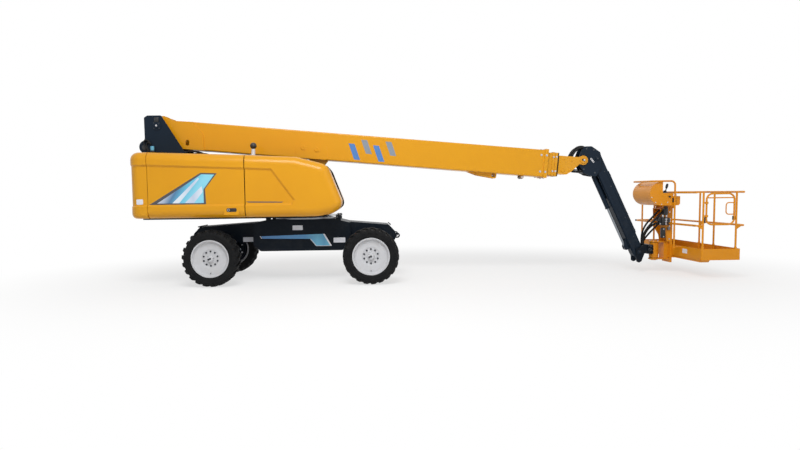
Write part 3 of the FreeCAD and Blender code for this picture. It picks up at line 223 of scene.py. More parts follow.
def enamelFinish(name, look):
    material, tree, shader, place = startFinish(name, {
        "Roughness": look["rough"], "Specular IOR Level": look["shine"], "Coat Weight": look["coat"],
        "Coat Roughness": 0.06, "IOR": 1.5})
    broad = addNode(tree, "ShaderNodeTexNoise", {"Scale": 1.6, "Detail": 3.0}, {"Vector": place})
    paint = mixColours(tree, broad.outputs[0], look["colour"], look["shade"])
    specks = addNode(tree, "ShaderNodeTexNoise", {"Scale": 9.0, "Detail": 6.0, "Roughness": 0.7},
                     {"Vector": place})
    lift = addNode(tree, "ShaderNodeSeparateXYZ", links={0: place})
    low = addNode(tree, "ShaderNodeMapRange", {"From Min": 1.6, "From Max": 0.3, "To Max": 0.25},
                  {"Value": lift.outputs["Z"]})
    cover = addNode(tree, "ShaderNodeMapRange", {"From Min": 0.45, "From Max": 0.8},
                    {"Value": specks.outputs[0]})
    dusty = addNode(tree, "ShaderNodeMath", {"operation": "MULTIPLY"},
                    {0: low.outputs[0], 1: cover.outputs[0]})
    coat = addNode(tree, "ShaderNodeMix", {"data_type": "RGBA", 7: hexColour(look["dust"])},
                   {0: dusty.outputs[0], 6: paint})
    tree.links.new(coat.outputs[2], shader.inputs["Base Color"])
    swell = addNode(tree, "ShaderNodeTexNoise", {"Scale": 25.0, "Detail": 2.0}, {"Vector": place})
    bumpFrom(tree, shader, swell.outputs[0], 0.002, 0.15)
    return material


def rubberFinish(name, colour, grain, rough):
    # moulded black rubber: matt, with a fine skin and pale bloom in patches; skin drawn coarser to show
    material, tree, shader, place = startFinish(name, {"Roughness": rough, "IOR": 1.52,
                                                       "Specular IOR Level": 0.2})
    bloom = addNode(tree, "ShaderNodeTexNoise", {"Scale": 5.0, "Detail": 6.0, "Roughness": 0.65},
                    {"Vector": place})
    share = addNode(tree, "ShaderNodeMapRange", {"From Min": 0.45, "From Max": 0.8, "To Max": 0.5},
                    {"Value": bloom.outputs[0]})
    tree.links.new(mixColours(tree, share.outputs[0], colour, "252523"), shader.inputs["Base Color"])
    skin = addNode(tree, "ShaderNodeTexNoise", {"Scale": grain, "Detail": 4.0}, {"Vector": place})
    bumpFrom(tree, shader, skin.outputs[0], 0.002, 0.5)
    return material


def metalFinish(name, colour, rough, grain, stretch):
    # bare or plated metal: bright, with drawn or ground lines along one way
    material, tree, shader, place = startFinish(name, {"Metallic": 1.0})
    lined = addNode(tree, "ShaderNodeMapping", {"Scale": stretch}, {"Vector": place})
    lines = addNode(tree, "ShaderNodeTexNoise", {"Scale": grain, "Detail": 3.0}, {"Vector": lined.outputs[0]})
    shade = addNode(tree, "ShaderNodeMapRange", {"To Min": 0.0, "To Max": 0.35}, {"Value": lines.outputs[0]})
    tree.links.new(mixColours(tree, shade.outputs[0], colour, "8E9196"), shader.inputs["Base Color"])
    gloss = addNode(tree, "ShaderNodeMapRange", {"To Min": rough * 0.7, "To Max": rough * 1.4},
                    {"Value": lines.outputs[0]})
    tree.links.new(gloss.outputs[0], shader.inputs["Roughness"])
    bumpFrom(tree, shader, lines.outputs[0], 0.0004, 0.2)
    return material


def plasticFinish(name, colour, shade, rough):
    # injection-moulded plastic with a spark-eroded grain, drawn at 8 mm so that it shows
    material, tree, shader, place = startFinish(name, {"Roughness": rough, "IOR": 1.49})
    cells = addNode(tree, "ShaderNodeTexVoronoi", {"Scale": 120.0}, {"Vector": place})
    tree.links.new(mixColours(tree, cells.outputs[0], colour, shade), shader.inputs["Base Color"])
    bumpFrom(tree, shader, cells.outputs[0], 0.001, 0.25)
    return material


def filmFinish(name, colours, span, turn=0.0):
    # printed vinyl film: flat ink under a satin laminate, its shades running along the piece
    material, tree, shader, place = startFinish(name, {"Roughness": 0.3, "IOR": 1.5, "Coat Weight": 0.4,
                                                       "Coat Roughness": 0.12})
    turned = addNode(tree, "ShaderNodeMapping", {"vector_type": "TEXTURE", "Rotation": (0, turn, 0)},
                     {"Vector": place})
    along = addNode(tree, "ShaderNodeSeparateXYZ", links={0: turned.outputs[0]})
    share = addNode(tree, "ShaderNodeMapRange", {"From Min": span[0], "From Max": span[1]},
                    {"Value": along.outputs["X"]})
    ramp = addNode(tree, "ShaderNodeValToRGB", links={0: share.outputs[0]})
    steps = ramp.color_ramp.elements
    while len(steps) < len(colours):
        steps.new(0.5)
    for step, (spot, colour) in zip(steps, colours):
        step.position = spot
        step.color = hexColour(colour)
    grain = addNode(tree, "ShaderNodeTexNoise", {"Scale": 60.0, "Detail": 2.0}, {"Vector": place})
    faint = addNode(tree, "ShaderNodeMapRange", {"To Max": 0.08}, {"Value": grain.outputs[0]})
    ink = addNode(tree, "ShaderNodeMix", {"data_type": "RGBA", 7: hexColour("FFFFFF")},
                  {0: faint.outputs[0], 6: ramp.outputs[0]})
    tree.links.new(ink.outputs[2], shader.inputs["Base Color"])
    bumpFrom(tree, shader, grain.outputs[0], 0.0003, 0.1)
    return material


finishes = {name: enamelFinish(name, look) for name, look in enamelLooks.items()}
finishes["tyreRubber"] = rubberFinish("tyreRubber", "0D0E10", 45.0, 0.8)
finishes["hoseRubber"] = rubberFinish("hoseRubber", "101113", 140.0, 0.55)
finishes["sealRubber"] = rubberFinish("sealRubber", "0D0E0F", 90.0, 0.7)
metalLooks = {
    "hardChrome": ("868C92", 0.12, 30.0, (1, 8, 8)),  # ground and plated rod
    "zincPlate": ("C4C6CA", 0.32, 60.0, (1, 1, 1)),  # bright zinc on fasteners
    "blackSteel": ("2B2E33", 0.4, 60.0, (1, 1, 1)),  # phosphated screws
    "machinedSteel": ("9EA1A5", 0.35, 18.0, (1, 1, 12)),  # turned ring
}
for name, look in metalLooks.items():
    finishes[name] = metalFinish(name, *look)
plasticLooks = {
    "mouldedBlack": ("17181A", "222326", 0.45),
    "mouldedGrey": ("8A8E94", "7C8087", 0.45),
    "mouldedBlue": ("6FB9DA", "5EA9CC", 0.35),
}
for name, look in plasticLooks.items():
    finishes[name] = plasticFinish(name, *look)
finishes["paleFilm"] = filmFinish("paleFilm", [(0, "DDE0EA"), (1, "E9EAF0")], (-6, 6))


def treadPlateFinish(look):
    # the cage enamel over rolled chequer plate: lozenges 25 mm long on the level faces, in two leans
    material = enamelFinish("chequerEnamel", look)
    tree = material.node_tree
    shader = tree.nodes["Principled BSDF"]
    place = addNode(tree, "ShaderNodeTexCoord").outputs["Object"]
    waves = []
    for lean in (0.785, -0.785):
        turned = addNode(tree, "ShaderNodeMapping", {"Rotation": (0, 0, lean), "Scale": (1, 2.6, 1)},
                         {"Vector": place})
        cells = addNode(tree, "ShaderNodeTexVoronoi", {"Scale": 22.0, "Randomness": 0.0},
                        {"Vector": turned.outputs[0]})
        waves.append(addNode(tree, "ShaderNodeMapRange", {"From Min": 0.28, "From Max": 0.2},
                             {"Value": cells.outputs[0]}))
    height = addNode(tree, "ShaderNodeMath", {"operation": "MAXIMUM"}, {0: waves[0].outputs[0],
                                                                        1: waves[1].outputs[0]})
    up = addNode(tree, "ShaderNodeSeparateXYZ",
                 links={0: addNode(tree, "ShaderNodeNewGeometry").outputs["True Normal"]})
    level = addNode(tree, "ShaderNodeMath", {"operation": "GREATER_THAN", 1: 0.9}, {0: up.outputs["Z"]})
    shown = addNode(tree, "ShaderNodeMath", {"operation": "MULTIPLY"}, {0: height.outputs[0],
                                                                        1: level.outputs[0]})
    bumpFrom(tree, shader, shown.outputs[0], 0.004, 0.6)
    return material


finishes["chequerEnamel"] = treadPlateFinish(enamelLooks["cageEnamel"])
slotFinishes = {
    "frame_paint": "frameEnamel", "body_paint": "boomEnamel", "cage_paint": "cageEnamel",
    "jib_paint": "riserEnamel", "rim_paint": "rimEnamel", "tyre_rubber": "tyreRubber",
    "bare_steel": "machinedSteel", "chrome_rod": "hardChrome", "black_plastic": "mouldedBlack",
}


def paintFrame():
    for node in nodes.values():
        for slot in node.material_slots:
            slot.material = finishes[slotFinishes[slot.material.name.split(".")[0]]]
    nodes["platform_floor"].material_slots[0].material = finishes["chequerEnamel"]


paintFrame()
print("finishes done:", len(finishes))


# small shapes: each is made about the origin, then copied into a piece where it belongs
def stamp(work, shape, matrix, finish=0):
    # copies a finished shape into a piece, turned and seated by the matrix
    mesh = bpy.data.meshes.new("shape")
    shape.to_mesh(mesh)
    mesh.transform(matrix)
    before = len(work.faces)
    work.from_mesh(mesh)
    work.faces.ensure_lookup_table()
    for face in work.faces[before:]:
        face.material_index = finish
    bpy.data.meshes.remove(mesh)


def finishPiece(name, work, body, used, seam=35):
    bmesh.ops.recalc_face_normals(work, faces=work.faces)
    mesh = bpy.data.meshes.new(name)
    work.to_mesh(mesh)
    work.free()
    for finish in used:
        mesh.materials.append(finishes[finish])
    mesh.shade_smooth()
    mesh.set_sharp_from_angle(angle=math.radians(seam))
    piece = bpy.data.objects.new(name, mesh)
    bpy.context.collection.objects.link(piece)
    if body:
        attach(piece, body)
    return piece


def bevelled(shape, edges, size, segments=2):
    bmesh.ops.bevel(shape, geom=edges, offset=size, offset_type="OFFSET", affect="EDGES", segments=segments,
                    profile=0.5, material=-1)
    return shape


def blockShape(size, edge=0.003):
    shape = bmesh.new()
    bmesh.ops.create_cube(shape, size=1)
    bmesh.ops.scale(shape, vec=size, verts=shape.verts)
    return bevelled(shape, shape.edges[:], edge)


def barShape(radius, length, edge=0.002, sides=24, tip=None):
    # round bar along Z, or a cone with a tip radius
    shape = bmesh.new()
    bmesh.ops.create_cone(shape, cap_ends=True, segments=sides, radius1=radius,
                          radius2=radius if tip is None else tip, depth=length)
    rims = [item for item in shape.edges if all(abs(vert.co.z) > length * 0.49 for vert in item.verts)
            and item.verts[0].co.z * item.verts[1].co.z > 0]
    return bevelled(shape, rims, edge)


def boltShape(radius, height):
    # hexagon head on its washer, standing up from the surface at nought
    shape = bmesh.new()
    bmesh.ops.create_cone(shape, cap_ends=True, segments=16, radius1=radius * 1.35, radius2=radius * 1.3,
                          depth=height * 0.25, matrix=Matrix.Translation((0, 0, height * 0.125)))
    head = bmesh.ops.create_cone(shape, cap_ends=True, segments=6, radius1=radius, radius2=radius,
                                 depth=height * 0.75, matrix=Matrix.Translation((0, 0, height * 0.625)))
    top = {edge for vert in head["verts"] for edge in vert.link_edges
           if all(end.co.z > height * 0.9 for end in edge.verts)}
    return bevelled(shape, list(top), height * 0.12, 1)


def plateShape(points, thick, edge=0.002, corner=0.0):
    # flat outline in X and Z, extruded along Y and centred on it
    shape = bmesh.new()
    face = shape.faces.new([shape.verts.new((x, -thick / 2, z)) for x, z in points])
    if corner:
        bmesh.ops.bevel(shape, geom=shape.verts[:], offset=corner, affect="VERTICES", segments=4, profile=0.5,
                        material=-1)
        face = shape.faces[:][0]
    grown = bmesh.ops.extrude_face_region(shape, geom=[face])
    moved = [item for item in grown["geom"] if isinstance(item, bmesh.types.BMVert)]
    bmesh.ops.translate(shape, vec=(0, thick, 0), verts=moved)
    bmesh.ops.recalc_face_normals(shape, faces=shape.faces)
    rims = [item for item in shape.edges if item.verts[0].co.y * item.verts[1].co.y > 0]
    return bevelled(shape, rims, edge, 1) if edge else shape


def turnedShape(profile, sides=48):
    # (radius, along) points spun about Z
    shape = bmesh.new()
    verts = [shape.verts.new((radius, 0, along)) for radius, along in profile]
    edges = [shape.edges.new(pair) for pair in zip(verts, verts[1:])]
    bmesh.ops.spin(shape, geom=verts + edges, axis=(0, 0, 1), cent=(0, 0, 0), steps=sides,
                   angle=math.tau, use_merge=True)
    bmesh.ops.remove_doubles(shape, verts=shape.verts, dist=0.00005)
    bmesh.ops.recalc_face_normals(shape, faces=shape.faces)
    return shape


def seat(place, turn=(0, 0, 0)):
    # place in metres and turns in degrees about X, then Y, then Z
    x, y, z = (math.radians(angle) for angle in turn)
    return (Matrix.Translation(place) @ Matrix.Rotation(z, 4, "Z") @ Matrix.Rotation(y, 4, "Y")
            @ Matrix.Rotation(x, 4, "X"))


outward = {1: (-90, 0, 0), -1: (90, 0, 0)}  # turns Z to face left or right
sides = {"left": 1, "right": -1}


# tyres and wheels
tyreShape = {"radius": 0.51, "half": 0.205, "lugs": 22, "lean": 0.35, "lugWide": 0.072}


def treadLug(setup):
    # one bar of the tread from the crown over the shoulder; drawn across Y and up Z, leaning along X
    profile = [(0.008, 0.455), (0.010, 0.505), (0.018, 0.5095), (0.110, 0.5085), (0.160, 0.500),
               (0.188, 0.482),
               (0.2035, 0.448), (0.2045, 0.420), (0.196, 0.412), (0.17, 0.44)]
    lug = plateShape([(-y, z) for y, z in profile], setup["lugWide"], 0.007)
    lug.transform(Matrix.Rotation(math.radians(-90), 4, "Z"))
    for vert in lug.verts:
        share = vert.co.y / setup["half"]
        vert.co.x *= 1.18 - 0.3 * share if vert.co.z > 0.46 else 1.0
        vert.co.x += setup["lean"] * vert.co.y * (1 - 0.25 * share)
        turn = vert.co.x / setup["radius"]
        vert.co.x, vert.co.z = vert.co.z * math.sin(turn), vert.co.z * math.cos(turn)
    return lug


def treadedTyre(name, setup):
    end, side = name.split("_")[1:]
    hub = pins[f"roll_{end}_{side}"]
    carcass = [(0.322, -0.16), (0.342, -0.166), (0.352, -0.186), (0.372, -0.192), (0.376, -0.197),
               (0.384, -0.197),
               (0.388, -0.193), (0.412, -0.197), (0.44, -0.196), (0.462, -0.184), (0.474, -0.15),
               (0.480, -0.09),
               (0.482, 0.0)]
    whole = carcass + [(radius, -along) for radius, along in reversed(carcass[:-1])]
    tyre = bmesh.new()
    stamp(tyre, turnedShape(whole + [whole[0]], 72), seat((0, 0, 0), (90, 0, 0)))
    lug = treadLug(setup)
    flip = Matrix.Diagonal((1, -1, 1, 1))
    for count in range(setup["lugs"]):
        turn = math.tau * count / setup["lugs"]
        stamp(tyre, lug, Matrix.Rotation(turn, 4, "Y"))
        stamp(tyre, lug, Matrix.Rotation(turn + math.pi / setup["lugs"], 4, "Y") @ flip)
    lug.free()
    tyre.transform(Matrix.Translation(hub))
    piece = finishPiece(f"treaded_{name}", tyre, f"wheel_{end}_{side}", ["tyreRubber"], 30)
    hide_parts(name)


wheelTrim = {"studs": 10, "studRing": 0.128, "face": 0.097, "capFace": 0.152, "spot": 0.017,
             "plugTurns": (40, 220)}  # in radians, as the plugs were first placed


def wheelFittings(end, side, setup):
    # nuts round the hub, the drain plug in the hub cap and the valve in the coned disc
    out = sides[side]
    hub = pins[f"roll_{end}_{side}"]
    work = bmesh.new()
    nut = boltShape(0.013, 0.02)
    for count in range(setup["studs"]):
        turn = math.tau * count / setup["studs"]
        spot = hub + Vector((setup["studRing"] * math.sin(turn), out * setup["face"],
                             setup["studRing"] * math.cos(turn)))
        stamp(work, nut, seat(spot, outward[out]))
    ring = turnedShape([(0.148, 0), (0.156, 0.005), (0.164, 0), (0.148, 0)])
    stamp(work, ring, seat(hub + Vector((0, out * 0.098, 0)), outward[out]), 2)
    stamp(work, boltShape(0.014, 0.014), seat(hub + Vector((0, out * setup["capFace"], 0)), outward[out]))
    drain = barShape(setup["spot"], 0.01, 0.002, 20)
    stamp(work, drain, seat(hub + Vector((-0.030, out * (setup["capFace"] + 0.002), -0.012)), outward[out]),
          1)
    for turn in setup["plugTurns"]:
        spot = hub + Vector((0.052 * math.cos(turn), out * (setup["capFace"] - 0.006),
                             0.052 * math.sin(turn)))
        stamp(work, barShape(0.006, 0.012, 0.001, 12), seat(spot, outward[out]), 1)
    stem = barShape(0.008, 0.04, 0.002, 12)
    stamp(work, stem, seat(hub + Vector((0.0, out * 0.118, -0.26)), outward[out]), 1)
    finishPiece(f"wheel_trim_{end}_{side}", work, f"wheel_{end}_{side}",
                ["blackSteel", "mouldedBlack", "rimEnamel"])


brakeDrum = {"radius": 0.285, "inner": 0.868, "outer": 0.955}


def brakeCover(end, side, setup):
    # dark hub drum that fills the wheel from behind
    out = sides[side]
    hub = pins[f"roll_{end}_{side}"]
    deep = setup["outer"] - setup["inner"]
    work = bmesh.new()
    drum = turnedShape([(0.06, 0), (0.15, 0), (0.165, 0.02), (setup["radius"] - 0.05, 0.024),
                        (setup["radius"] - 0.03, 0.0), (setup["radius"] - 0.006, 0.0),
                        (setup["radius"], 0.008), (setup["radius"], deep), (0.06, deep), (0.06, 0)])
    stamp(work, drum, seat((hub.x, out * setup["inner"], hub.z), outward[out]))
    for count in range(8):
        turn = math.tau * (count + 0.5) / 8
        spot = (hub.x + 0.205 * math.cos(turn), out * (setup["inner"] + 0.023),
                hub.z + 0.205 * math.sin(turn))
        stamp(work, boltShape(0.013, 0.012), seat(spot, outward[-out]), 1)
    body = f"knuckle_{side}" if end == "steer" else "chassis"
    finishPiece(f"hub_drum_{end}_{side}", work, body, ["frameEnamel", "zincPlate"])


for end in ("steer", "drive"):
    for side in sides:
        treadedTyre(f"tyre_{end}_{side}", tyreShape)
        wheelFittings(end, side, wheelTrim)
        brakeCover(end, side, brakeDrum)
print("wheels done")


# thin printed films and blank plates
def filmPiece(name, body, finish, quads, faceY, out, lift=0.0012):
    # flat films, each an outline of (x, z) points, on a side face that looks out
    work = bmesh.new()
    for points in quads:
        film = plateShape(points, lift, 0)
        stamp(work, film, Matrix.Translation((0, faceY + out * lift / 2, 0)))
        film.free()
    finishPiece(name, work, body, [finish])


def boxPoints(low, high):
    return [(low[0], low[1]), (high[0], low[1]), (high[0], high[1]), (low[0], high[1])]


def blankPlate(name, body, low, high, faceY, out):
    # unmarked plate with rounded corners, four rivets
    work = bmesh.new()
    plate = plateShape(boxPoints(low, high), 0.003, 0.0008, min(high[1] - low[1], high[0] - low[0]) * 0.12)
    stamp(work, plate, Matrix.Translation((0, faceY + out * 0.0015, 0)))
    rivet = barShape(0.004, 0.003, 0.001, 10)
    for x in (low[0] + 0.01, high[0] - 0.01):
        for z in (low[1] + 0.01, high[1] - 0.01):
            stamp(work, rivet, seat((x, faceY + out * 0.004, z), outward[out]), 1)
    finishPiece(name, work, body, ["paleFilm", "zincPlate"])


# chassis
frameLow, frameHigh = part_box("chassis_frame")
ringPin = pins["slew"]
bandLook = {
    "span": (-3.274, -1.950),
    "band": [[(-3.274, 0.854), (-3.250, 0.809), (-2.341, 0.793), (-2.233, 0.662), (-1.980, 0.664),
              (-2.108, 0.884)]],
    "edge": [[(-2.108, 0.884), (-1.980, 0.664), (-1.948, 0.664), (-2.078, 0.885)],
             [(-3.300, 0.858), (-3.274, 0.812), (-3.258, 0.810), (-3.283, 0.857)],
             [(-2.341, 0.793), (-2.350, 0.787), (-2.242, 0.655), (-1.950, 0.655), (-1.950, 0.663),
              (-2.233, 0.661)]],
    "plates": {"middle": ((-2.680, 0.962), (-2.488, 1.050)), "front": ((-1.912, 0.716), (-1.690, 0.810)),
               "rear": ((-3.640, 0.742), (-3.440, 0.832))},
    "rearFace": 0.350,
}
finishes["bandFilm"] = filmFinish("bandFilm", [(0, "2C7DC0"), (0.62, "2F8CC8"), (0.8, "57B4D8"),
                                               (0.9, "3E9CCB"),
                                               (1, "66C3DE")], bandLook["span"])


def chassisFilms(look):
    # colour band with its pale edges, and three blank plates a side
    for side, out in sides.items():
        face = frameHigh.y * out
        filmPiece(f"chassis_band_{side}", "chassis", "bandFilm", look["band"], face, out)
        filmPiece(f"band_edge_{side}", "chassis", "paleFilm", look["edge"], face, out)
        for name, (low, high) in look["plates"].items():
            plateFace = look["rearFace"] * out if name == "rear" else face
            blankPlate(f"chassis_plate_{name}_{side}", "chassis", low, high, plateFace, out)


ringBoltLook = {"count": 36, "radius": 0.545, "lift": 0.0225}


def ringBolts(setup):
    work = bmesh.new()
    head = boltShape(0.015, 0.016)
    radius = setup["radius"]
    for count in range(setup["count"]):
        turn = math.tau * count / setup["count"]
        stamp(work, head, seat((ringPin.x + radius * math.cos(turn), radius * math.sin(turn),
                                ringPin.z + setup["lift"])))
    finishPiece("ring_bolts", work, "chassis", ["zincPlate"])


def chassisWelds():
    # weld beads across both ends of the frame
    work = bmesh.new()
    weld = barShape(0.012, 2 * 0.36, 0.004, 10)
    for x in (frameLow.x + 0.19, frameHigh.x - 0.19):
        stamp(work, weld, seat((x, 0, frameHigh.z - 0.155), (90, 0, 0)))
    finishPiece("chassis_welds", work, "chassis", ["frameEnamel"])


deckStops = {"ahead": 0.67, "astern": 0.65, "across": 0.46, "gap": 0.0065}


def slewStops(setup):
    # travel-lock pads on short straps at the deck's ends, clear of the chassis as the deck turns
    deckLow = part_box("turntable_deck")[0]
    base = frameHigh.z + setup["gap"]
    work = bmesh.new()
    pad = blockShape((0.10, 0.075, 0.034), 0.006)
    strap = blockShape((0.30, 0.075, 0.010), 0.003)
    for out in (1, -1):
        ahead = ringPin.x + setup["ahead"]
        stamp(work, pad, seat((ahead, out * setup["across"], base + 0.017)))
        stamp(work, strap, seat((ahead - 0.13, out * setup["across"], deckLow.z + 0.010)))
        for shift in (-0.025, 0.025):
            stamp(work, boltShape(0.014, 0.012), seat((ahead + shift, out * setup["across"], base + 0.034)),
                  1)
        stamp(work, blockShape((0.10, 0.075, 0.010), 0.003),
              seat((ringPin.x - setup["astern"], out * setup["across"], base + 0.005)))
    finishPiece("slew_stops", work, "turntable", ["frameEnamel", "zincPlate"])


chassisFilms(bandLook)
ringBolts(ringBoltLook)
chassisWelds()
slewStops(deckStops)
print("chassis done")


# cowl, doors and counterweight
hoodFace = -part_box("door_right")[0].y
beltFace = hoodFace - 0.030  # the sunk belt
finishes["wedgeFilm"] = filmFinish("wedgeFilm",
                                   [(0, "4FB9DB"), (0.18, "BFE6F2"), (0.40, "8FB6DA"), (0.55, "E6EAF4"),
                                                 (0.74, "2E6E9E"), (0.86, "4DB6D8"), (1, "7FD0E6")],
                                   (-5.7, -4.55), 0.56)
finishes["darkFilm"] = filmFinish("darkFilm", [(0, "20242B"), (1, "2C323B")], (-6, 6))
finishes["silverFilm"] = filmFinish("silverFilm", [(0, "D9E6F2"), (0.5, "B9C9E0"), (1, "EDF2F8")],
                                    (-4.6, -4.1))


wedgeFilms = {
    "wedge_back": {"film": "darkFilm", "lift": 0.0010, "outlines": [
        [(-5.127, 1.480), (-4.150, 1.480), (-4.128, 1.486), (-4.140, 1.75), (-3.925, 2.024),
         (-4.212, 2.034)]]},
    "wedge_face": {"film": "wedgeFilm", "lift": 0.0016, "outlines": [
        [(-4.985, 1.503), (-4.168, 1.503), (-4.168, 1.742), (-3.972, 2.001), (-4.196, 2.009)]]},
    "wedge_bands": {"film": "silverFilm", "lift": 0.0020, "outlines": [
        [(-4.72, 1.503), (-4.60, 1.503), (-4.235, 1.93), (-4.262, 1.945)],
        [(-4.50, 1.503), (-4.34, 1.503), (-4.182, 1.70), (-4.20, 1.80)]]},
    "nose_line": {"film": "darkFilm", "lift": 0.0012, "outlines": [
        [(-3.428, 1.520), (-3.380, 1.500), (-2.800, 1.492), (-2.760, 1.508), (-2.900, 1.512)]]},
}


def wedgeDecal(side, films):
    # plain straight-edged wedge in leaning bands on a dark backing, and the line along the nose
    out = sides[side]
    for name, look in films.items():
        body = f"door_{side}" if name.startswith("wedge") else "turntable"
        filmPiece(f"{name}_{side}", body, look["film"], look["outlines"], beltFace * out, out,
                  look["lift"])


latch = {"x": -3.677, "z": 1.372, "long": 0.185, "tall": 0.07}


def doorLatch(side, setup):
    # paddle latch in its black dish, sunk in the door's recess
    out = sides[side]
    work = bmesh.new()
    dish = plateShape(boxPoints((-setup["long"] / 2, -setup["tall"] / 2),
                                (setup["long"] / 2, setup["tall"] / 2)),
                      0.010, 0.002, 0.03)
    stamp(work, dish, seat((setup["x"], out * (hoodFace - 0.002), setup["z"])))
    surround = plateShape(boxPoints((-0.135, -0.075), (0.125, 0.062)), 0.010, 0.003, 0.014)
    stamp(work, surround, seat((setup["x"], out * (hoodFace - 0.003), setup["z"] - 0.012)), 2)
    paddle = blockShape((0.095, 0.010, 0.034), 0.004)
    stamp(work, paddle, seat((setup["x"] + 0.03, out * (hoodFace + 0.005), setup["z"] + 0.002)))
    ring = turnedShape([(0.014, 0), (0.016, 0.004), (0.023, 0.004), (0.025, 0), (0.014, 0)], 24)
    stamp(work, ring, seat((setup["x"] - 0.055, out * (hoodFace + 0.003), setup["z"]), outward[out]), 1)
    finishPiece(f"door_latch_{side}", work, f"door_{side}", ["mouldedBlack", "zincPlate", "boomEnamel"])


def noseShadeWall(side):
    # black wall in seal rubber on the nose cowl's inner side, closing it against the boom channel; its black is
    # painted shade, a dark sheet that stands for the shaded gap of the channel at the cowl's front edge
    out = sides[side]
    low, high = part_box(f"nose_cowl_{side}")
    inner = 0.3735
    nose, foot = high.x + 0.037, low.z
    points = [(low.x + 0.012, foot + 0.02), (nose - 0.486, foot + 0.006), (nose - 0.216, foot + 0.043),
              (nose - 0.010, foot + 0.184), (nose - 0.270, 2.121), (nose - 0.373, 2.182),
              (nose - 0.850, 2.306),
              (low.x + 0.012, 2.344)]
    wall = plateShape(points, 0.012, 0)
    upright = [edge for edge in wall.edges if abs(edge.verts[0].co.y - edge.verts[1].co.y) > 0.01
               and edge.verts[0].co.x > low.x + 0.3]
    bmesh.ops.bevel(wall, geom=upright, offset=0.085, offset_type="OFFSET", affect="EDGES", segments=6,
                    profile=0.5, material=-1)
    work = bmesh.new()
    middle = Vector(((low.x + nose) / 2, 0, (low.z + high.z) / 2))
    stamp(work, wall, Matrix.Translation((middle.x, out * (inner - 0.008), middle.z))
          @ Matrix.Diagonal((1.012, 1, 1.012, 1)) @ Matrix.Translation((-middle.x, 0, -middle.z)))
    finishPiece(f"nose_shade_wall_{side}", work, "turntable", ["sealRubber"])


def beaconTrim():
    # the lamp is a black ball with a collar; the post is pale aluminium
    low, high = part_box("beacon")
    x, y = (low.x + high.x) / 2, (low.y + high.y) / 2
    work = bmesh.new()
    post = turnedShape([(0, 0.0), (0.062, 0.0), (0.062, 0.008), (0.045, 0.016), (0.036, 0.03), (0.034, 0.124),
                        (0.030, 0.136), (0, 0.138)], 32)
    stamp(work, post, seat((x, y, low.z + 0.004), (0, 2.1, 0)))
    lamp = turnedShape([(0, 0.112), (0.024, 0.112), (0.030, 0.130), (0.046, 0.150), (0.058, 0.175),
                        (0.060, 0.190),
                        (0.055, 0.212), (0.040, 0.233), (0.020, 0.245), (0, 0.2475)], 32)
    stamp(work, lamp, seat((x, y, low.z + 0.002), (0, 2.1, 0)), 1)
    piece = finishPiece("beacon_lamp", work, "turntable", ["rimEnamel", "mouldedBlack"])
    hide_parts("beacon")


def tailTrim():
    # blank label, lamp lenses and the tow eye covers on the counterweight
    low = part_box("counterweight")[0]
    for side, out in sides.items():
        blankPlate(f"tail_label_{side}", "turntable", (-5.347, 1.487), (-5.232, 1.580), beltFace * out, out)
    work = bmesh.new()
    for out in (1, -1):
        plate = blockShape((0.012, 0.16, 0.07), 0.006)
        stamp(work, plate, seat((low.x + 0.018, out * 0.82, 1.62)))
        stamp(work, blockShape((0.01, 0.06, 0.05), 0.004), seat((low.x + 0.012, out * 0.785, 1.62)), 1)
        stamp(work, blockShape((0.01, 0.06, 0.05), 0.004), seat((low.x + 0.012, out * 0.855, 1.62)), 2)
        stamp(work, boltShape(0.03, 0.02), seat((low.x + 0.016, out * 0.30, 1.80), (0, -90, 0)), 3)
    finishPiece("tail_lamps", work, "turntable", ["mouldedBlack", "mouldedGrey", "boomEnamel", "zincPlate"])


for side in sides:
    wedgeDecal(side, wedgeFilms)
    doorLatch(side, latch)
    noseShadeWall(side)
beaconTrim()
tailTrim()
print("cowl done")


# boom: run along the sections from the pivot, rise square to them
droop = math.atan2(-slides["boom_extend"].z, slides["boom_extend"].x)
boomSeat = Matrix.Translation(pins["boom_lift"]) @ Matrix.Rotation(droop, 4, "Y")
tipRun = (pins["bracket_level"] - pins["boom_lift"]).length
section = {"middle": -0.123, "base": (0.200, 0.263), "mid": (0.170, 0.220), "fly": (0.140, 0.177)}
finishes["deepBlueFilm"] = filmFinish("deepBlueFilm", [(0, "2268B4"), (1, "2F7CC6")], (-6, 6))
finishes["slateFilm"] = filmFinish("slateFilm", [(0, "737E8C"), (1, "858F9B")], (-6, 6))
boomBars = {"from": 3.60, "pitch": 0.235, "wide": 0.115, "lean": 0.17, "low": -0.335, "high": 0.055,
            "count": 4}
collarBolts = ((7.345, 0), (7.445, 0.015))  # run, and how far the collar stands out there


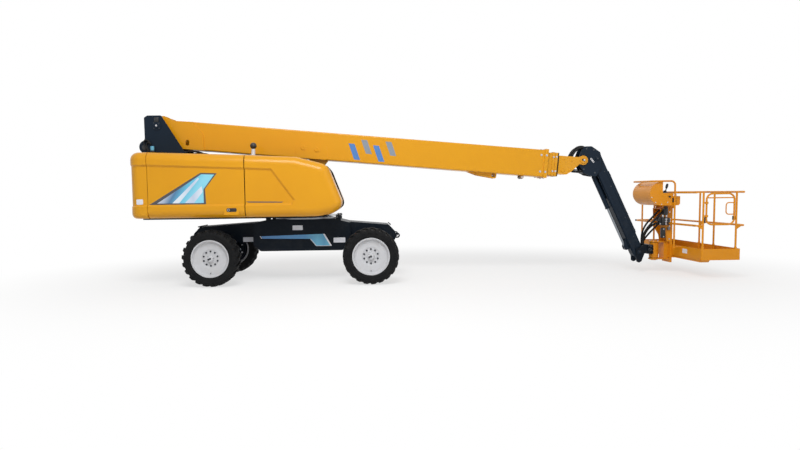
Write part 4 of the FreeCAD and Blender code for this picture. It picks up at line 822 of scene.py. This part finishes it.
def boomTrim(look):
    # plain leaning bars in two colours, shoulder bolts on the collar's sides, top and underside
    for side, out in sides.items():
        for finish, first, low, high in (("deepBlueFilm", 0, look["low"], look["high"] - 0.09),
                                         ("slateFilm", 1, look["low"] + 0.13, look["high"])):
            work = bmesh.new()
            for count in range(first, look["count"] + first, 2):
                start = look["from"] + count * look["pitch"]
                tall = high - low
                lean = look["lean"] * tall / (look["high"] - look["low"])
                bar = plateShape([(start + lean, low), (start + lean + look["wide"], low),
                                  (start + look["wide"], high), (start, high)], 0.0012, 0)
                stamp(work, bar, boomSeat @ Matrix.Translation((0, out * (section["base"][0] + 0.0008), 0)))
                bar.free()
            finishPiece(f"boom_bars_{finish}_{side}", work, "base_boom", [finish])
    work = bmesh.new()
    head = boltShape(0.016, 0.014)
    half, tall = section["base"]
    for out in (1, -1):
        for run, grow in collarBolts:
            for rise in (section["middle"] - tall * 0.62, section["middle"] + tall * 0.60):
                stamp(work, head, boomSeat @ seat((run, out * (half + grow), rise), outward[out]))
    for run, grow in collarBolts:
        for across in (-0.11, 0.11):
            up = section["middle"] + tall + grow
            stamp(work, head, boomSeat @ seat((run, across, up)))
            stamp(work, head, boomSeat @ seat((run, across, 2 * section["middle"] - up), (180, 0, 0)))
    finishPiece("base_collar_bolts", work, "base_boom", ["zincPlate"])


liftPlate = {"runs": (2.60, 3.17), "rises": (-0.384, -0.105), "bosses": ((2.74, -0.185), (3.00, -0.200)),
             "wide": 0.046}


def liftDoubler(setup):
    # welded cheek plates over the lift lug, each with two turned bosses
    work = bmesh.new()
    half = section["base"][0]
    low, high = setup["runs"]
    under, over = setup["rises"]
    plate = plateShape([(low, over - 0.06), (low + 0.05, over), (high - 0.12, over), (high, over - 0.10),
                        (high, under), (low + 0.05, under), (low, under + 0.08)], 0.010, 0.002)
    for out in (1, -1):
        stamp(work, plate, boomSeat @ Matrix.Translation((0, out * (half + 0.0045), 0)))
        boss = turnedShape([(0, 0), (setup["wide"], 0), (setup["wide"], 0.008),
                            (setup["wide"] - 0.008, 0.014),
                            (0.020, 0.014), (0.018, 0.011), (0, 0.011)], 36)
        for run, rise in setup["bosses"]:
            stamp(work, boss, boomSeat @ seat((run, out * (half + 0.0095), rise), outward[out]))
    finishPiece("lift_doubler", work, "base_boom", ["boomEnamel"])


def collarBand(name, body, run, long, half, tall, thick, finish, bolts):
    # four-sided band round a section, mitred at its corners
    band = bmesh.new()
    bmesh.ops.create_cube(band, size=1)
    bmesh.ops.scale(band, vec=(long, 2 * (half + thick), 2 * (tall + thick)), verts=band.verts)
    band.normal_update()
    ends = [face for face in band.faces if abs(face.normal.x) > 0.9]
    bmesh.ops.delete(band, geom=ends, context="FACES")
    bmesh.ops.solidify(band, geom=band.faces[:], thickness=thick)
    bevelled(band, [edge for edge in band.edges if abs((edge.verts[0].co - edge.verts[1].co).normalized().x) > 0.9],
             thick * 0.8)
    work = bmesh.new()
    stamp(work, band, boomSeat @ Matrix.Translation((run, 0, section["middle"])))
    head = boltShape(0.014, 0.012)
    for out in (1, -1):
        for shift, rise in bolts:
            stamp(work, head, boomSeat @ seat((run + shift, out * (half + thick), section["middle"] + rise),
                                              outward[out]), 1)
    finishPiece(name, work, body, [finish, "zincPlate"])


def midTrim():
    half, tall = section["mid"]
    collarBand("mid_collar", "mid_boom", 7.592, 0.045, half, tall, 0.012, "boomEnamel",
               [(0, 0.62 * tall), (0, -0.62 * tall)])
    collarBand("mid_head_band", "mid_boom", 7.652, 0.05, half, tall, 0.007, "boomEnamel",
               [(0, 0.66 * tall), (0, -0.60 * tall)])
    collarBand("mid_wiper", "mid_boom", 7.685, 0.018, half - 0.003, tall - 0.003, 0.012, "sealRubber", [])
    # wiper lips that close the gaps between the sections
    for name, body, run, outer, inner in (("base_wiper", "base_boom", 7.478, "base", "mid"),
                                          ("mid_lip", "mid_boom", 7.688, "mid", "fly")):
        gapWide = section[outer][0] - section[inner][0] - 0.004
        collarBand(name, body, run, 0.010, section[inner][0] + 0.002, section[inner][1] + 0.002,
                   min(gapWide, 0.026), "sealRubber", [])


def flyTrim():
    # light ring and keeper round the tip pin, pad bolts on the cheeks
    half = section["fly"][0] + 0.020
    lug = half + 0.016
    work = bmesh.new()
    for out in (1, -1):
        ring = turnedShape([(0.040, 0), (0.040, 0.006), (0.058, 0.006), (0.062, 0), (0.040, 0)], 36)
        stamp(work, ring, boomSeat @ seat((tipRun, out * lug, 0), outward[out]))
        slot = plateShape([(-0.034, -0.013), (0.034, -0.021), (0.034, 0.013), (-0.034, 0.021)], 0.004, 0.001,
                          0.012)
        stamp(work, slot, boomSeat @ seat((tipRun, out * (lug + 0.001), 0), (0, 12, 0)), 1)
        slot.free()
        stamp(work, boltShape(0.014, 0.012), boomSeat @ seat((tipRun + 0.012, out * (lug + 0.002), 0.004),
                                                             outward[out]), 2)
        for run, rise in ((7.80, 0.005), (7.80, -0.22), (7.95, -0.03), (7.93, -0.21)):
            disc = turnedShape([(0, 0.0), (0.030, 0.0), (0.030, 0.003), (0.022, 0.006), (0, 0.006)], 24)
            stamp(work, disc, boomSeat @ seat((run, out * half, rise), outward[out]))
    finishPiece("tip_pin_trim", work, "fly_boom", ["boomEnamel", "mouldedBlack", "zincPlate"])


def restTrim():
    # roller and pads under the base section
    work = bmesh.new()
    under = section["middle"] - section["base"][1]
    roller = turnedShape([(0, -0.09), (0.030, -0.09), (0.034, -0.085), (0.034, -0.06), (0.031, -0.05),
                          (0.031, 0.05),
                          (0.034, 0.06), (0.034, 0.085), (0.030, 0.09), (0, 0.09)], 32)
    stamp(work, roller, boomSeat @ seat((7.027, 0, under - 0.030), (90, 0, 0)))
    for out in (1, -1):
        stamp(work, boltShape(0.016, 0.012), boomSeat @ seat((7.027, out * 0.116, under - 0.030),
                                                             outward[out]), 1)
        stamp(work, turnedShape([(0.026, -0.01), (0.034, -0.01), (0.034, 0.012), (0.026, 0.012),
                                 (0.026, -0.01)], 28),
              boomSeat @ seat((6.463, out * 0.090, under - 0.037), outward[out]))
    finishPiece("hose_roller", work, "base_boom", ["mouldedBlack", "zincPlate"])


boomTrim(boomBars)
liftDoubler(liftPlate)
midTrim()
flyTrim()
restTrim()
print("boom done")


# riser
riserLook = {"cheek": 0.3725, "boss": 0.012, "boltRing": 0.068, "keeper": 0.110, "rearBack": 0.240,
             "rearHigh": 2.549}


def riserTrim(look):
    # pin caps, their keepers and the rear caps on the boom pivot plates
    pivot = pins["boom_lift"]
    face = look["cheek"] + look["boss"]
    work = bmesh.new()
    for out in (1, -1):
        cap = turnedShape([(0, 0.0), (0.060, 0.0), (0.060, 0.004), (0.048, 0.010), (0, 0.010)], 36)
        stamp(work, cap, seat((pivot.x, out * face, pivot.z), outward[out]))
        stamp(work, boltShape(0.020, 0.010), seat((pivot.x, out * (face + 0.010), pivot.z), outward[out]), 1)
        for turn in range(0, 360, 90):
            angle = math.radians(turn + 45)
            spot = (pivot.x + look["boltRing"] * math.cos(angle), out * face,
                    pivot.z + look["boltRing"] * math.sin(angle))
            stamp(work, boltShape(0.009, 0.010), seat(spot, outward[out]), 2)
        keeper = blockShape((0.085, 0.016, 0.085), 0.006)
        stamp(work, keeper, seat((pivot.x, out * (face + 0.004), pivot.z + look["keeper"])), 3)
        for shift in (-0.026, 0.026):
            spot = (pivot.x + shift, out * (face + 0.012), pivot.z + look["keeper"])
            stamp(work, boltShape(0.010, 0.008), seat(spot, outward[out]), 2)
        rear = turnedShape([(0, 0.0), (0.052, 0.0), (0.052, 0.010), (0.040, 0.018), (0, 0.018)], 30)
        spot = (pivot.x - look["rearBack"], out * (face - look["boss"]), look["rearHigh"])
        stamp(work, rear, seat(spot, outward[out]), 3)
    finishPiece("riser_pin_caps", work, "turntable",
                ["riserEnamel", "rimEnamel", "blackSteel", "mouldedBlack"])


filterPlace = Vector((-5.262, 0.440, 2.478))


def filterBowls(place):
    # pressure filters with pale blue bowls, beside the riser foot
    work = bmesh.new()
    bowl = turnedShape([(0, 0.0), (0.024, 0.0), (0.034, 0.010), (0.036, 0.075), (0.030, 0.083), (0, 0.083)],
                       28)
    for out in (-1, 1):
        stamp(work, bowl, seat((place.x, out * place.y, place.z)))
    for out in (1, -1):
        stamp(work, barShape(0.040, 0.024, 0.004), seat((place.x, out * place.y, place.z - 0.012)), 1)
        block = blockShape((0.07, 0.07, 0.05), 0.006)
        stamp(work, block, seat((place.x, out * (place.y - 0.010), place.z - 0.046)), 1)
    finishPiece("filter_bowls", work, "turntable", ["mouldedBlue", "mouldedBlack"])


# hoses: each is its own smooth line through a few given points
def hoseLine(name, points):
    curve = bpy.data.curves.new(name, "CURVE")
    curve.dimensions = "3D"
    spline = curve.splines.new("NURBS")
    spline.points.add(len(points) - 1)
    for spot, point in zip(spline.points, points):
        spot.co = (*point, 1)
    spline.order_u = 3
    spline.use_endpoint_u = True
    spline.resolution_u = 8
    return curve


def hosePiece(name, hose, body):
    # a curve hose that rides on one body
    curve = hoseLine(name, hose["points"])
    curve.bevel_depth = hose["wide"] / 2
    curve.bevel_resolution = 4
    curve.use_fill_caps = True
    curve.materials.append(finishes["hoseRubber"])
    piece = bpy.data.objects.new(name, curve)
    bpy.context.collection.objects.link(piece)
    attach(piece, body)


def bendingHose(name, hose):
    # a hose that crosses one joint: the tube is made a mesh and left in place on no body
    line = bpy.data.objects.new(name + "_line", hoseLine(name + "_line", hose["points"]))
    path = [tuple(vert.co) for vert in bpy.data.meshes.new_from_object(line).vertices]
    line.data.bevel_depth = hose["wide"] / 2
    line.data.bevel_resolution = 4
    line.data.use_fill_caps = True
    mesh = bpy.data.meshes.new_from_object(line)
    bpy.data.objects.remove(line)
    mesh.name = name
    mesh.materials.clear()
    mesh.materials.append(finishes["hoseRubber"])
    mesh.shade_smooth()
    piece = bpy.data.objects.new(name, mesh)
    bpy.context.collection.objects.link(piece)
    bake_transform(piece)


riserTrim(riserLook)
filterBowls(filterPlace)
riserHoses = {
    "riser_hose_outer": {"wide": 0.03, "long": 0.44, "points": [
        (-5.330, -0.395, 2.415), (-5.345, -0.400, 2.480), (-5.400, -0.405, 2.560), (-5.440, -0.402, 2.640),
        (-5.400, -0.400, 2.690), (-5.330, -0.398, 2.660), (-5.300, -0.392, 2.600)]},
    "riser_hose_inner": {"wide": 0.026, "long": 0.30, "points": [
        (-5.300, -0.398, 2.415), (-5.318, -0.402, 2.470), (-5.360, -0.404, 2.530), (-5.392, -0.402, 2.600),
        (-5.360, -0.400, 2.645), (-5.310, -0.396, 2.620)]},
}
for name, hose in riserHoses.items():
    hosePiece(name, hose, "turntable")
# hose bundle that lies along the hood's inner edge beside the boom; its black hoses also paint the dark strip of
# shade under the boom
shadeHoseBundle = {"wide": 0.034, "long": 0.66}
for count, across in enumerate((0.305, 0.340)):
    for side, out in sides.items():
        hosePiece(f"hood_shade_hose_{count + 1}_{side}", {**shadeHoseBundle, "points": [
            (-4.80, out * across, 2.300), (-4.78, out * across, 2.400), (-4.70, out * across, 2.462),
            (-4.56, out * across, 2.470), (-4.42, out * across, 2.455), (-4.32, out * across, 2.410),
            (-4.29, out * across, 2.330)]}, "turntable")
print("riser done")


# tip and jib
tip = pins["bracket_level"]
jibPin = pins["jib_lift"]
cagePin = pins["platform_level"]
jibDroop = math.atan2(jibPin.z - cagePin.z, cagePin.x - jibPin.x)
jibSeat = Matrix.Translation(jibPin) @ Matrix.Rotation(jibDroop, 4, "Y")
tipHoses = {
    "tip_hose_over_1": {"wide": 0.042, "long": 0.61, "points": [
        (2.640, -0.062, 2.205), (2.725, -0.062, 2.270), (2.770, -0.064, 2.385), (2.850, -0.066, 2.475),
        (2.950, -0.068, 2.503), (3.035, -0.068, 2.480), (3.060, -0.066, 2.400)]},
    "tip_hose_over_2": {"wide": 0.040, "long": 0.58, "points": [
        (2.642, -0.106, 2.197), (2.742, -0.106, 2.262), (2.792, -0.106, 2.372), (2.868, -0.106, 2.452),
        (2.956, -0.106, 2.480), (3.035, -0.106, 2.465), (3.062, -0.104, 2.392)]},
    "tip_hose_over_3": {"wide": 0.040, "long": 0.59, "points": [
        (2.642, 0.082, 2.200), (2.738, 0.082, 2.262), (2.788, 0.082, 2.376), (2.864, 0.082, 2.460),
        (2.955, 0.082, 2.490), (3.035, 0.082, 2.470), (3.062, 0.082, 2.395)]},
    "tip_hose_under_1": {"wide": 0.044, "long": 0.50, "points": [
        (2.640, -0.092, 2.085), (2.720, -0.092, 2.055), (2.800, -0.092, 2.018), (2.890, -0.092, 2.002),
        (2.980, -0.092, 2.018), (3.060, -0.092, 2.000), (3.110, -0.092, 1.950)]},
    "tip_hose_under_2": {"wide": 0.044, "long": 0.50, "points": [
        (2.640, 0.092, 2.090), (2.725, 0.092, 2.062), (2.805, 0.092, 2.030), (2.890, 0.092, 2.012),
        (2.975, 0.092, 2.030), (3.055, 0.092, 2.010), (3.108, 0.092, 1.955)]},
}
for name, hose in tipHoses.items():
    bendingHose(name, hose)


cheekFace, capFace = 0.132, 0.142  # outer faces of the bracket cheeks and of their pin bosses


def pinCap():
    return turnedShape([(0, 0), (0.040, 0), (0.040, 0.006), (0.03, 0.012), (0, 0.012)], 30)


def tipTrim():
    # keeper plates, caps and bolts on the bracket cheeks; the block where the hoses land
    work = bmesh.new()
    for out in (1, -1):
        face = out * cheekFace
        keeper = blockShape((0.105, 0.005, 0.035), 0.002)
        stamp(work, keeper, seat((tip.x + 0.185, face + out * 0.0025, tip.z - 0.003), (0, 50, 0)))
        for shift in (-0.030, 0.030):
            spot = (tip.x + 0.185 + shift * 0.64, face, tip.z - 0.003 - shift * 0.77)
            stamp(work, boltShape(0.010, 0.006), seat(spot, outward[out]), 1)
        stamp(work, pinCap(), seat((jibPin.x, out * capFace, jibPin.z), outward[out]), 2)
        stamp(work, boltShape(0.013, 0.008), seat((jibPin.x, out * 0.150, jibPin.z), outward[out]), 1)
        for x, z in ((0.07, 0.225), (0.215, 0.200), (0.24, -0.245), (0.02, -0.175)):
            stamp(work, boltShape(0.013, 0.005), seat((tip.x + x, face, tip.z + z), outward[out]), 1)
    landing = blockShape((0.075, 0.225, 0.055), 0.008)
    stamp(work, landing, seat((tip.x + 0.098, 0, tip.z + 0.165)), 2)
    for across in (-0.066, -0.104, 0.082):
        stamp(work, barShape(0.024, 0.05, 0.004), seat((tip.x + 0.096, across, tip.z + 0.200)), 1)
    finishPiece("tip_bracket_trim", work, "tip_bracket", ["rimEnamel", "blackSteel", "riserEnamel"])


def jibTrim():
    # a weld-on hose guard down the arm's back with bolts along it, and a bolted strip on each side
    work = bmesh.new()
    deep, wide = 0.11, 0.08
    guard = plateShape([(0.30, deep), (0.34, deep + 0.026), (1.66, deep + 0.026), (1.70, deep)], 0.11, 0.004)
    stamp(work, guard, jibSeat, 0)
    for run in (0.42, 0.84, 1.26, 1.62):
        for across in (-0.04, 0.04):
            stamp(work, boltShape(0.009, 0.008), jibSeat @ seat((run, across, deep + 0.026)), 1)
    for out in (1, -1):
        strip = blockShape((1.30, 0.006, 0.020), 0.002)
        stamp(work, strip, jibSeat @ seat((1.0, out * (wide + 0.0028), deep - 0.030)))
        for run in (0.30, 0.62, 1.30, 1.72):
            stamp(work, boltShape(0.008, 0.005),
                  jibSeat @ seat((run, out * wide, deep - 0.065), outward[out]), 1)
    finishPiece("jib_guard", work, "jib_arm", ["riserEnamel", "blackSteel"])


def cageBracketTrim():
    # pin caps and the hose unions behind the rotator
    work = bmesh.new()
    for out in (1, -1):
        stamp(work, pinCap(), seat((cagePin.x, out * capFace, cagePin.z), outward[out]), 1)
        stamp(work, boltShape(0.013, 0.008), seat((cagePin.x, out * 0.152, cagePin.z), outward[out]), 2)
        for z in (0.04, 0.115):
            union = turnedShape([(0, 0), (0.030, 0), (0.034, 0.006), (0.034, 0.028), (0.026, 0.034),
                                 (0.026, 0.06),
                                 (0, 0.06)], 24)
            stamp(work, union, seat((cagePin.x + 0.205, out * cheekFace, cagePin.z + z), outward[out]), 3)
            stamp(work, boltShape(0.016, 0.014), seat((cagePin.x + 0.205, out * 0.192, cagePin.z + z),
                                                      outward[out]), 2)
    finishPiece("cage_bracket_trim", work, "platform_bracket",
                ["cageEnamel", "riserEnamel", "blackSteel", "mouldedBlack"])


def rotatorCasing():
    # paint-matched casing round the rotator's worm housing
    work = bmesh.new()
    casing = turnedShape([(0.0805, -0.150), (0.086, -0.145), (0.086, 0.145), (0.0805, 0.150),
                          (0.0805, -0.150)], 40)
    stamp(work, casing, seat((cagePin.x + 0.355, 0, cagePin.z + 0.020)))
    for z in (-0.10, 0.0, 0.10):
        band = turnedShape([(0.086, -0.006), (0.0905, -0.004), (0.0905, 0.004), (0.086, 0.006),
                            (0.086, -0.006)], 40)
        stamp(work, band, seat((cagePin.x + 0.355, 0, cagePin.z + 0.020 + z)))
    finishPiece("rotator_casing", work, "platform_bracket", ["cageEnamel"])


tipTrim()
jibTrim()
cageBracketTrim()
rotatorCasing()
print("tip and jib done")


# platform: measured from the pin at the jib's lower end


def cage(x, y, z):
    return (cagePin.x + x, y, cagePin.z + z)


panelTop = 1.1447


def controlPanel(top):
    # levers, toggles and the stop knob on the console's panel
    work = bmesh.new()
    stamp(work, blockShape((0.26, 0.66, 0.016), 0.004), seat(cage(0.355, -0.075, top + 0.008)))
    for y, tilt in ((-0.355, 14), (-0.16, -10), (0.155, 8)):
        boot = turnedShape([(0, 0.0), (0.042, 0.0), (0.040, 0.010), (0.030, 0.016), (0.033, 0.024),
                            (0.022, 0.032),
                            (0.024, 0.040), (0.012, 0.048), (0, 0.048)], 24)
        stamp(work, boot, seat(cage(0.385, y, top + 0.016)), 1)
        grip = turnedShape([(0, 0.03), (0.010, 0.03), (0.010, 0.085), (0.021, 0.095), (0.025, 0.130),
                            (0.022, 0.168),
                            (0.012, 0.180), (0, 0.182)], 20)
        stamp(work, grip, seat(cage(0.385, y, top + 0.016), (0, tilt, 0)), 1)
    for count in range(9):
        toggle = barShape(0.006, 0.03, 0.001, 10, 0.004)
        spot = cage(0.280, -0.335 + count * 0.065, top + 0.030)
        stamp(work, toggle, seat(spot, (0, 12 if count % 2 else -12, 0)), 2)
        stamp(work, turnedShape([(0, 0), (0.011, 0), (0.011, 0.004), (0, 0.006)], 12),
              seat(cage(0.280, -0.335 + count * 0.065, top + 0.016)), 2)
    stop = turnedShape([(0, 0), (0.016, 0), (0.016, 0.02), (0.030, 0.024), (0.030, 0.036), (0.022, 0.042),
                        (0, 0.042)],
                       24)
    stamp(work, stop, seat(cage(0.430, -0.255, top + 0.016)), 3)
    for y in (-0.03, 0.035):
        stamp(work, blockShape((0.05, 0.045, 0.006), 0.002), seat(cage(0.430, y, top + 0.018)), 4)
    finishPiece("control_panel", work, "platform",
                ["mouldedGrey", "mouldedBlack", "zincPlate", "cageEnamel", "paleFilm"])


def consoleFittings():
    # side boxes, lamps and cover screws on both ends of the console
    work = bmesh.new()
    for y, out in ((-0.450, -1), (0.300, 1)):
        stamp(work, blockShape((0.070, 0.030, 0.085), 0.006), seat(cage(0.515, y, 1.02)))
        stamp(work, barShape(0.022, 0.03, 0.004), seat(cage(0.535, y + out * 0.008, 1.115), outward[out]), 1)
        stamp(work, barShape(0.018, 0.03, 0.004), seat(cage(0.425, y + out * 0.004, 1.085), outward[out]))
        for turn in (200, 235, 270, 305):
            angle = math.radians(turn)
            spot = cage(0.275 + 0.205 * math.cos(angle), y, 1.147 + 0.205 * math.sin(angle))
            stamp(work, boltShape(0.008, 0.006), seat(spot, outward[out]), 2)
    finishPiece("console_fittings", work, "platform", ["mouldedBlack", "rimEnamel", "zincPlate"])


def mastTrim():
    # valve block, rotator motor, junction box and their bolts on the mast
    work = bmesh.new()
    stamp(work, blockShape((0.16, 0.13, 0.15), 0.010), seat(cage(0.455, -0.215, 0.600)))
    stamp(work, blockShape((0.09, 0.10, 0.09), 0.008), seat(cage(0.350, -0.205, 0.640), (0, 25, 0)))
    for z in (0.555, 0.600, 0.645):
        stamp(work, barShape(0.018, 0.05, 0.004), seat(cage(0.375, -0.225, z), (0, 90, 0)), 1)
        stamp(work, boltShape(0.016, 0.016), seat(cage(0.455, -0.280, z), outward[-1]), 1)
        stamp(work, barShape(0.015, 0.04, 0.004), seat(cage(0.545, -0.235, z), (0, 90, 0)), 1)
    for x in (0.42, 0.49):
        stamp(work, barShape(0.016, 0.06, 0.004), seat(cage(x, -0.215, 0.700)), 1)
    motor = turnedShape([(0, 0), (0.045, 0), (0.052, 0.008), (0.052, 0.13), (0.040, 0.14), (0.040, 0.17),
                         (0, 0.17)],
                        30)
    stamp(work, motor, seat(cage(0.470, -0.205, 0.730)))
    stamp(work, blockShape((0.085, 0.06, 0.20), 0.012), seat(cage(0.440, -0.190, 0.375)))
    stamp(work, blockShape((0.05, 0.03, 0.06), 0.006), seat(cage(0.565, -0.172, 0.46)), 2)
    for z in (0.30, 0.45):
        stamp(work, boltShape(0.010, 0.008), seat(cage(0.440, -0.220, z), outward[-1]), 1)
    for z in (0.25, 0.50, 0.78):
        stamp(work, boltShape(0.011, 0.010), seat(cage(0.585, -0.156, z), outward[-1]), 1)
        stamp(work, boltShape(0.011, 0.010), seat(cage(0.585, 0.156, z), outward[1]), 1)
    finishPiece("mast_hydraulics", work, "platform", ["mouldedBlack", "zincPlate", "mouldedGrey"])


def clevisCaps():
    # rotator clevis caps and bolts, above and below
    work = bmesh.new()
    for level, turn in ((0.2005, (0, 0, 0)), (-0.1605, (180, 0, 0))):
        stamp(work, turnedShape([(0, 0), (0.060, 0), (0.060, 0.012), (0.048, 0.020), (0, 0.020)], 32),
              seat(cage(0.355, 0, level), turn))
        for count in range(6):
            angle = math.tau * count / 6
            stamp(work, boltShape(0.010, 0.010),
                  seat(cage(0.355 + 0.08 * math.cos(angle), 0.08 * math.sin(angle),
                                                           level), turn), 1)
    finishPiece("clevis_caps", work, "platform", ["cageEnamel", "zincPlate"])


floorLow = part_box("platform_floor")[0]
cageLook = {"rail": 1.197, "postRun": 1.275, "closedRun": 1.395, "secondPost": -0.500, "midRail": 0.565,
            "topRail": 1.165, "foot": -0.049}


def toeLabel():
    # blank label on the toe board that faces the jib
    work = bmesh.new()
    y, z = -0.640, cagePin.z + 0.052
    label = plateShape(boxPoints((-0.085, -0.042), (0.085, 0.042)), 0.003, 0.0008, 0.010)
    stamp(work, label, seat((floorLow.x - 0.0015, y, z), (0, 0, 90)))
    for across in (-0.072, 0.072):
        stamp(work, barShape(0.004, 0.003, 0.001, 10), seat((floorLow.x - 0.004, y + across, z), (0, -90, 0)),
              1)
    finishPiece("toe_label", work, "platform", ["paleFilm", "zincPlate"])


def postFeet(look):
    # foot plates and collars of the posts, the second post of the long side and the rails' end plugs
    work = bmesh.new()
    rail, front, back, across = (look[key] for key in ("rail", "postRun", "closedRun", "secondPost"))
    for x in (floorLow.x + 0.023, cagePin.x + front):
        for y in (rail, 0.0, -rail):
            if y == 0.0 and x < floorLow.x + 0.1:
                continue
            foot = blockShape((0.07, 0.05 if y == 0 else 0.045, 0.012), 0.003)
            stamp(work, foot, seat((x, y * 0.985, cagePin.z + look["foot"])))
            collar = turnedShape([(0.0175, 0), (0.024, 0), (0.024, 0.03), (0.0175, 0.036), (0.0175, 0)], 20)
            stamp(work, collar, seat((x, y, cagePin.z + 0.140)))
    # the second post is tied to the rails by short struts
    stamp(work, barShape(0.017, 1.214, 0.002), seat(cage(front, across, 0.556)))
    stamp(work, blockShape((0.07, 0.05, 0.012), 0.003), seat(cage(front, across, look["foot"])))
    for z in (0.140, 0.540, 1.140):
        collar = turnedShape([(0.0165, 0), (0.023, 0.004), (0.023, 0.030), (0.0165, 0.036), (0.0165, 0)], 20)
        stamp(work, collar, seat(cage(front, across, z)))
    rails = (look["midRail"], look["topRail"])
    for z in rails:
        stamp(work, barShape(0.012, back - front, 0.001, 20),
              seat(cage((front + back) / 2, across, z), (0, 90, 0)))
    for z in rails:
        for y in (-rail, rail):
            plug = turnedShape([(0, 0), (0.0195, 0), (0.0195, 0.004), (0.012, 0.010), (0, 0.011)], 20)
            stamp(work, plug, seat(cage(0.530, y, z), outward[1 if y > 0 else -1]), 1)
    finishPiece("post_feet", work, "platform", ["cageEnamel", "mouldedBlack"])


def gateTrim(look):
    # latch on the gate, hinges and stop block on the rail beside it
    work = bmesh.new()
    y, top = -look["rail"], look["topRail"]
    for z in (top - 0.19, top - 0.40):
        stamp(work, barShape(0.014, 0.03, 0.003, 16), seat(cage(1.232, y, z)))
    spring = blockShape((0.05, 0.02, 0.07), 0.005)
    stamp(work, spring, seat((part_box("gate")[1].x - 0.022, y, cagePin.z + 0.70)))
    finishPiece("gate_latch", work, "gate", ["mouldedBlack"])
    work = bmesh.new()
    for z in (look["midRail"] + 0.17, top - 0.19):
        ring = turnedShape([(0.0255, -0.020), (0.030, -0.016), (0.030, 0.016), (0.0255, 0.020),
                            (0.0255, -0.020)], 20)
        stamp(work, ring, seat(cage(0.725, y, z)))
    stamp(work, blockShape((0.03, 0.03, 0.11), 0.006), seat(cage(0.690, y, 0.66)), 1)
    finishPiece("gate_hinges", work, "platform", ["cageEnamel", "mouldedBlack"])


controlPanel(panelTop)
consoleFittings()
mastTrim()
clevisCaps()
toeLabel()
postFeet(cageLook)
gateTrim(cageLook)
cageHoses = {
    "cage_hose_1": {"wide": 0.042, "long": 0.81, "points": [
        (4.205, -0.095, 0.560), (4.190, -0.110, 0.640), (4.185, -0.150, 0.760), (4.235, -0.190, 0.880),
        (4.310, -0.215, 0.985), (4.400, -0.225, 1.080), (4.470, -0.225, 1.160), (4.545, -0.215, 1.220)]},
    "cage_hose_2": {"wide": 0.040, "long": 0.60, "points": [
        (4.225, -0.060, 0.560), (4.215, -0.075, 0.650), (4.225, -0.110, 0.760), (4.275, -0.150, 0.870),
        (4.345, -0.180, 0.945), (4.425, -0.195, 0.985), (4.490, -0.200, 1.000)]},
    "cage_hose_3": {"wide": 0.036, "long": 0.54, "points": [
        (4.240, 0.020, 0.560), (4.270, -0.010, 0.660), (4.320, -0.070, 0.760), (4.375, -0.130, 0.850),
        (4.430, -0.175, 0.930), (4.480, -0.195, 0.985)]},
    "cage_hose_4": {"wide": 0.036, "long": 0.79, "points": [
        (4.245, 0.060, 0.560), (4.245, 0.070, 0.680), (4.265, 0.060, 0.830), (4.330, 0.020, 0.980),
        (4.410, -0.040, 1.090), (4.470, -0.090, 1.190), (4.520, -0.120, 1.240)]},
}
for name, hose in cageHoses.items():
    bendingHose(name, hose)
print("platform done")
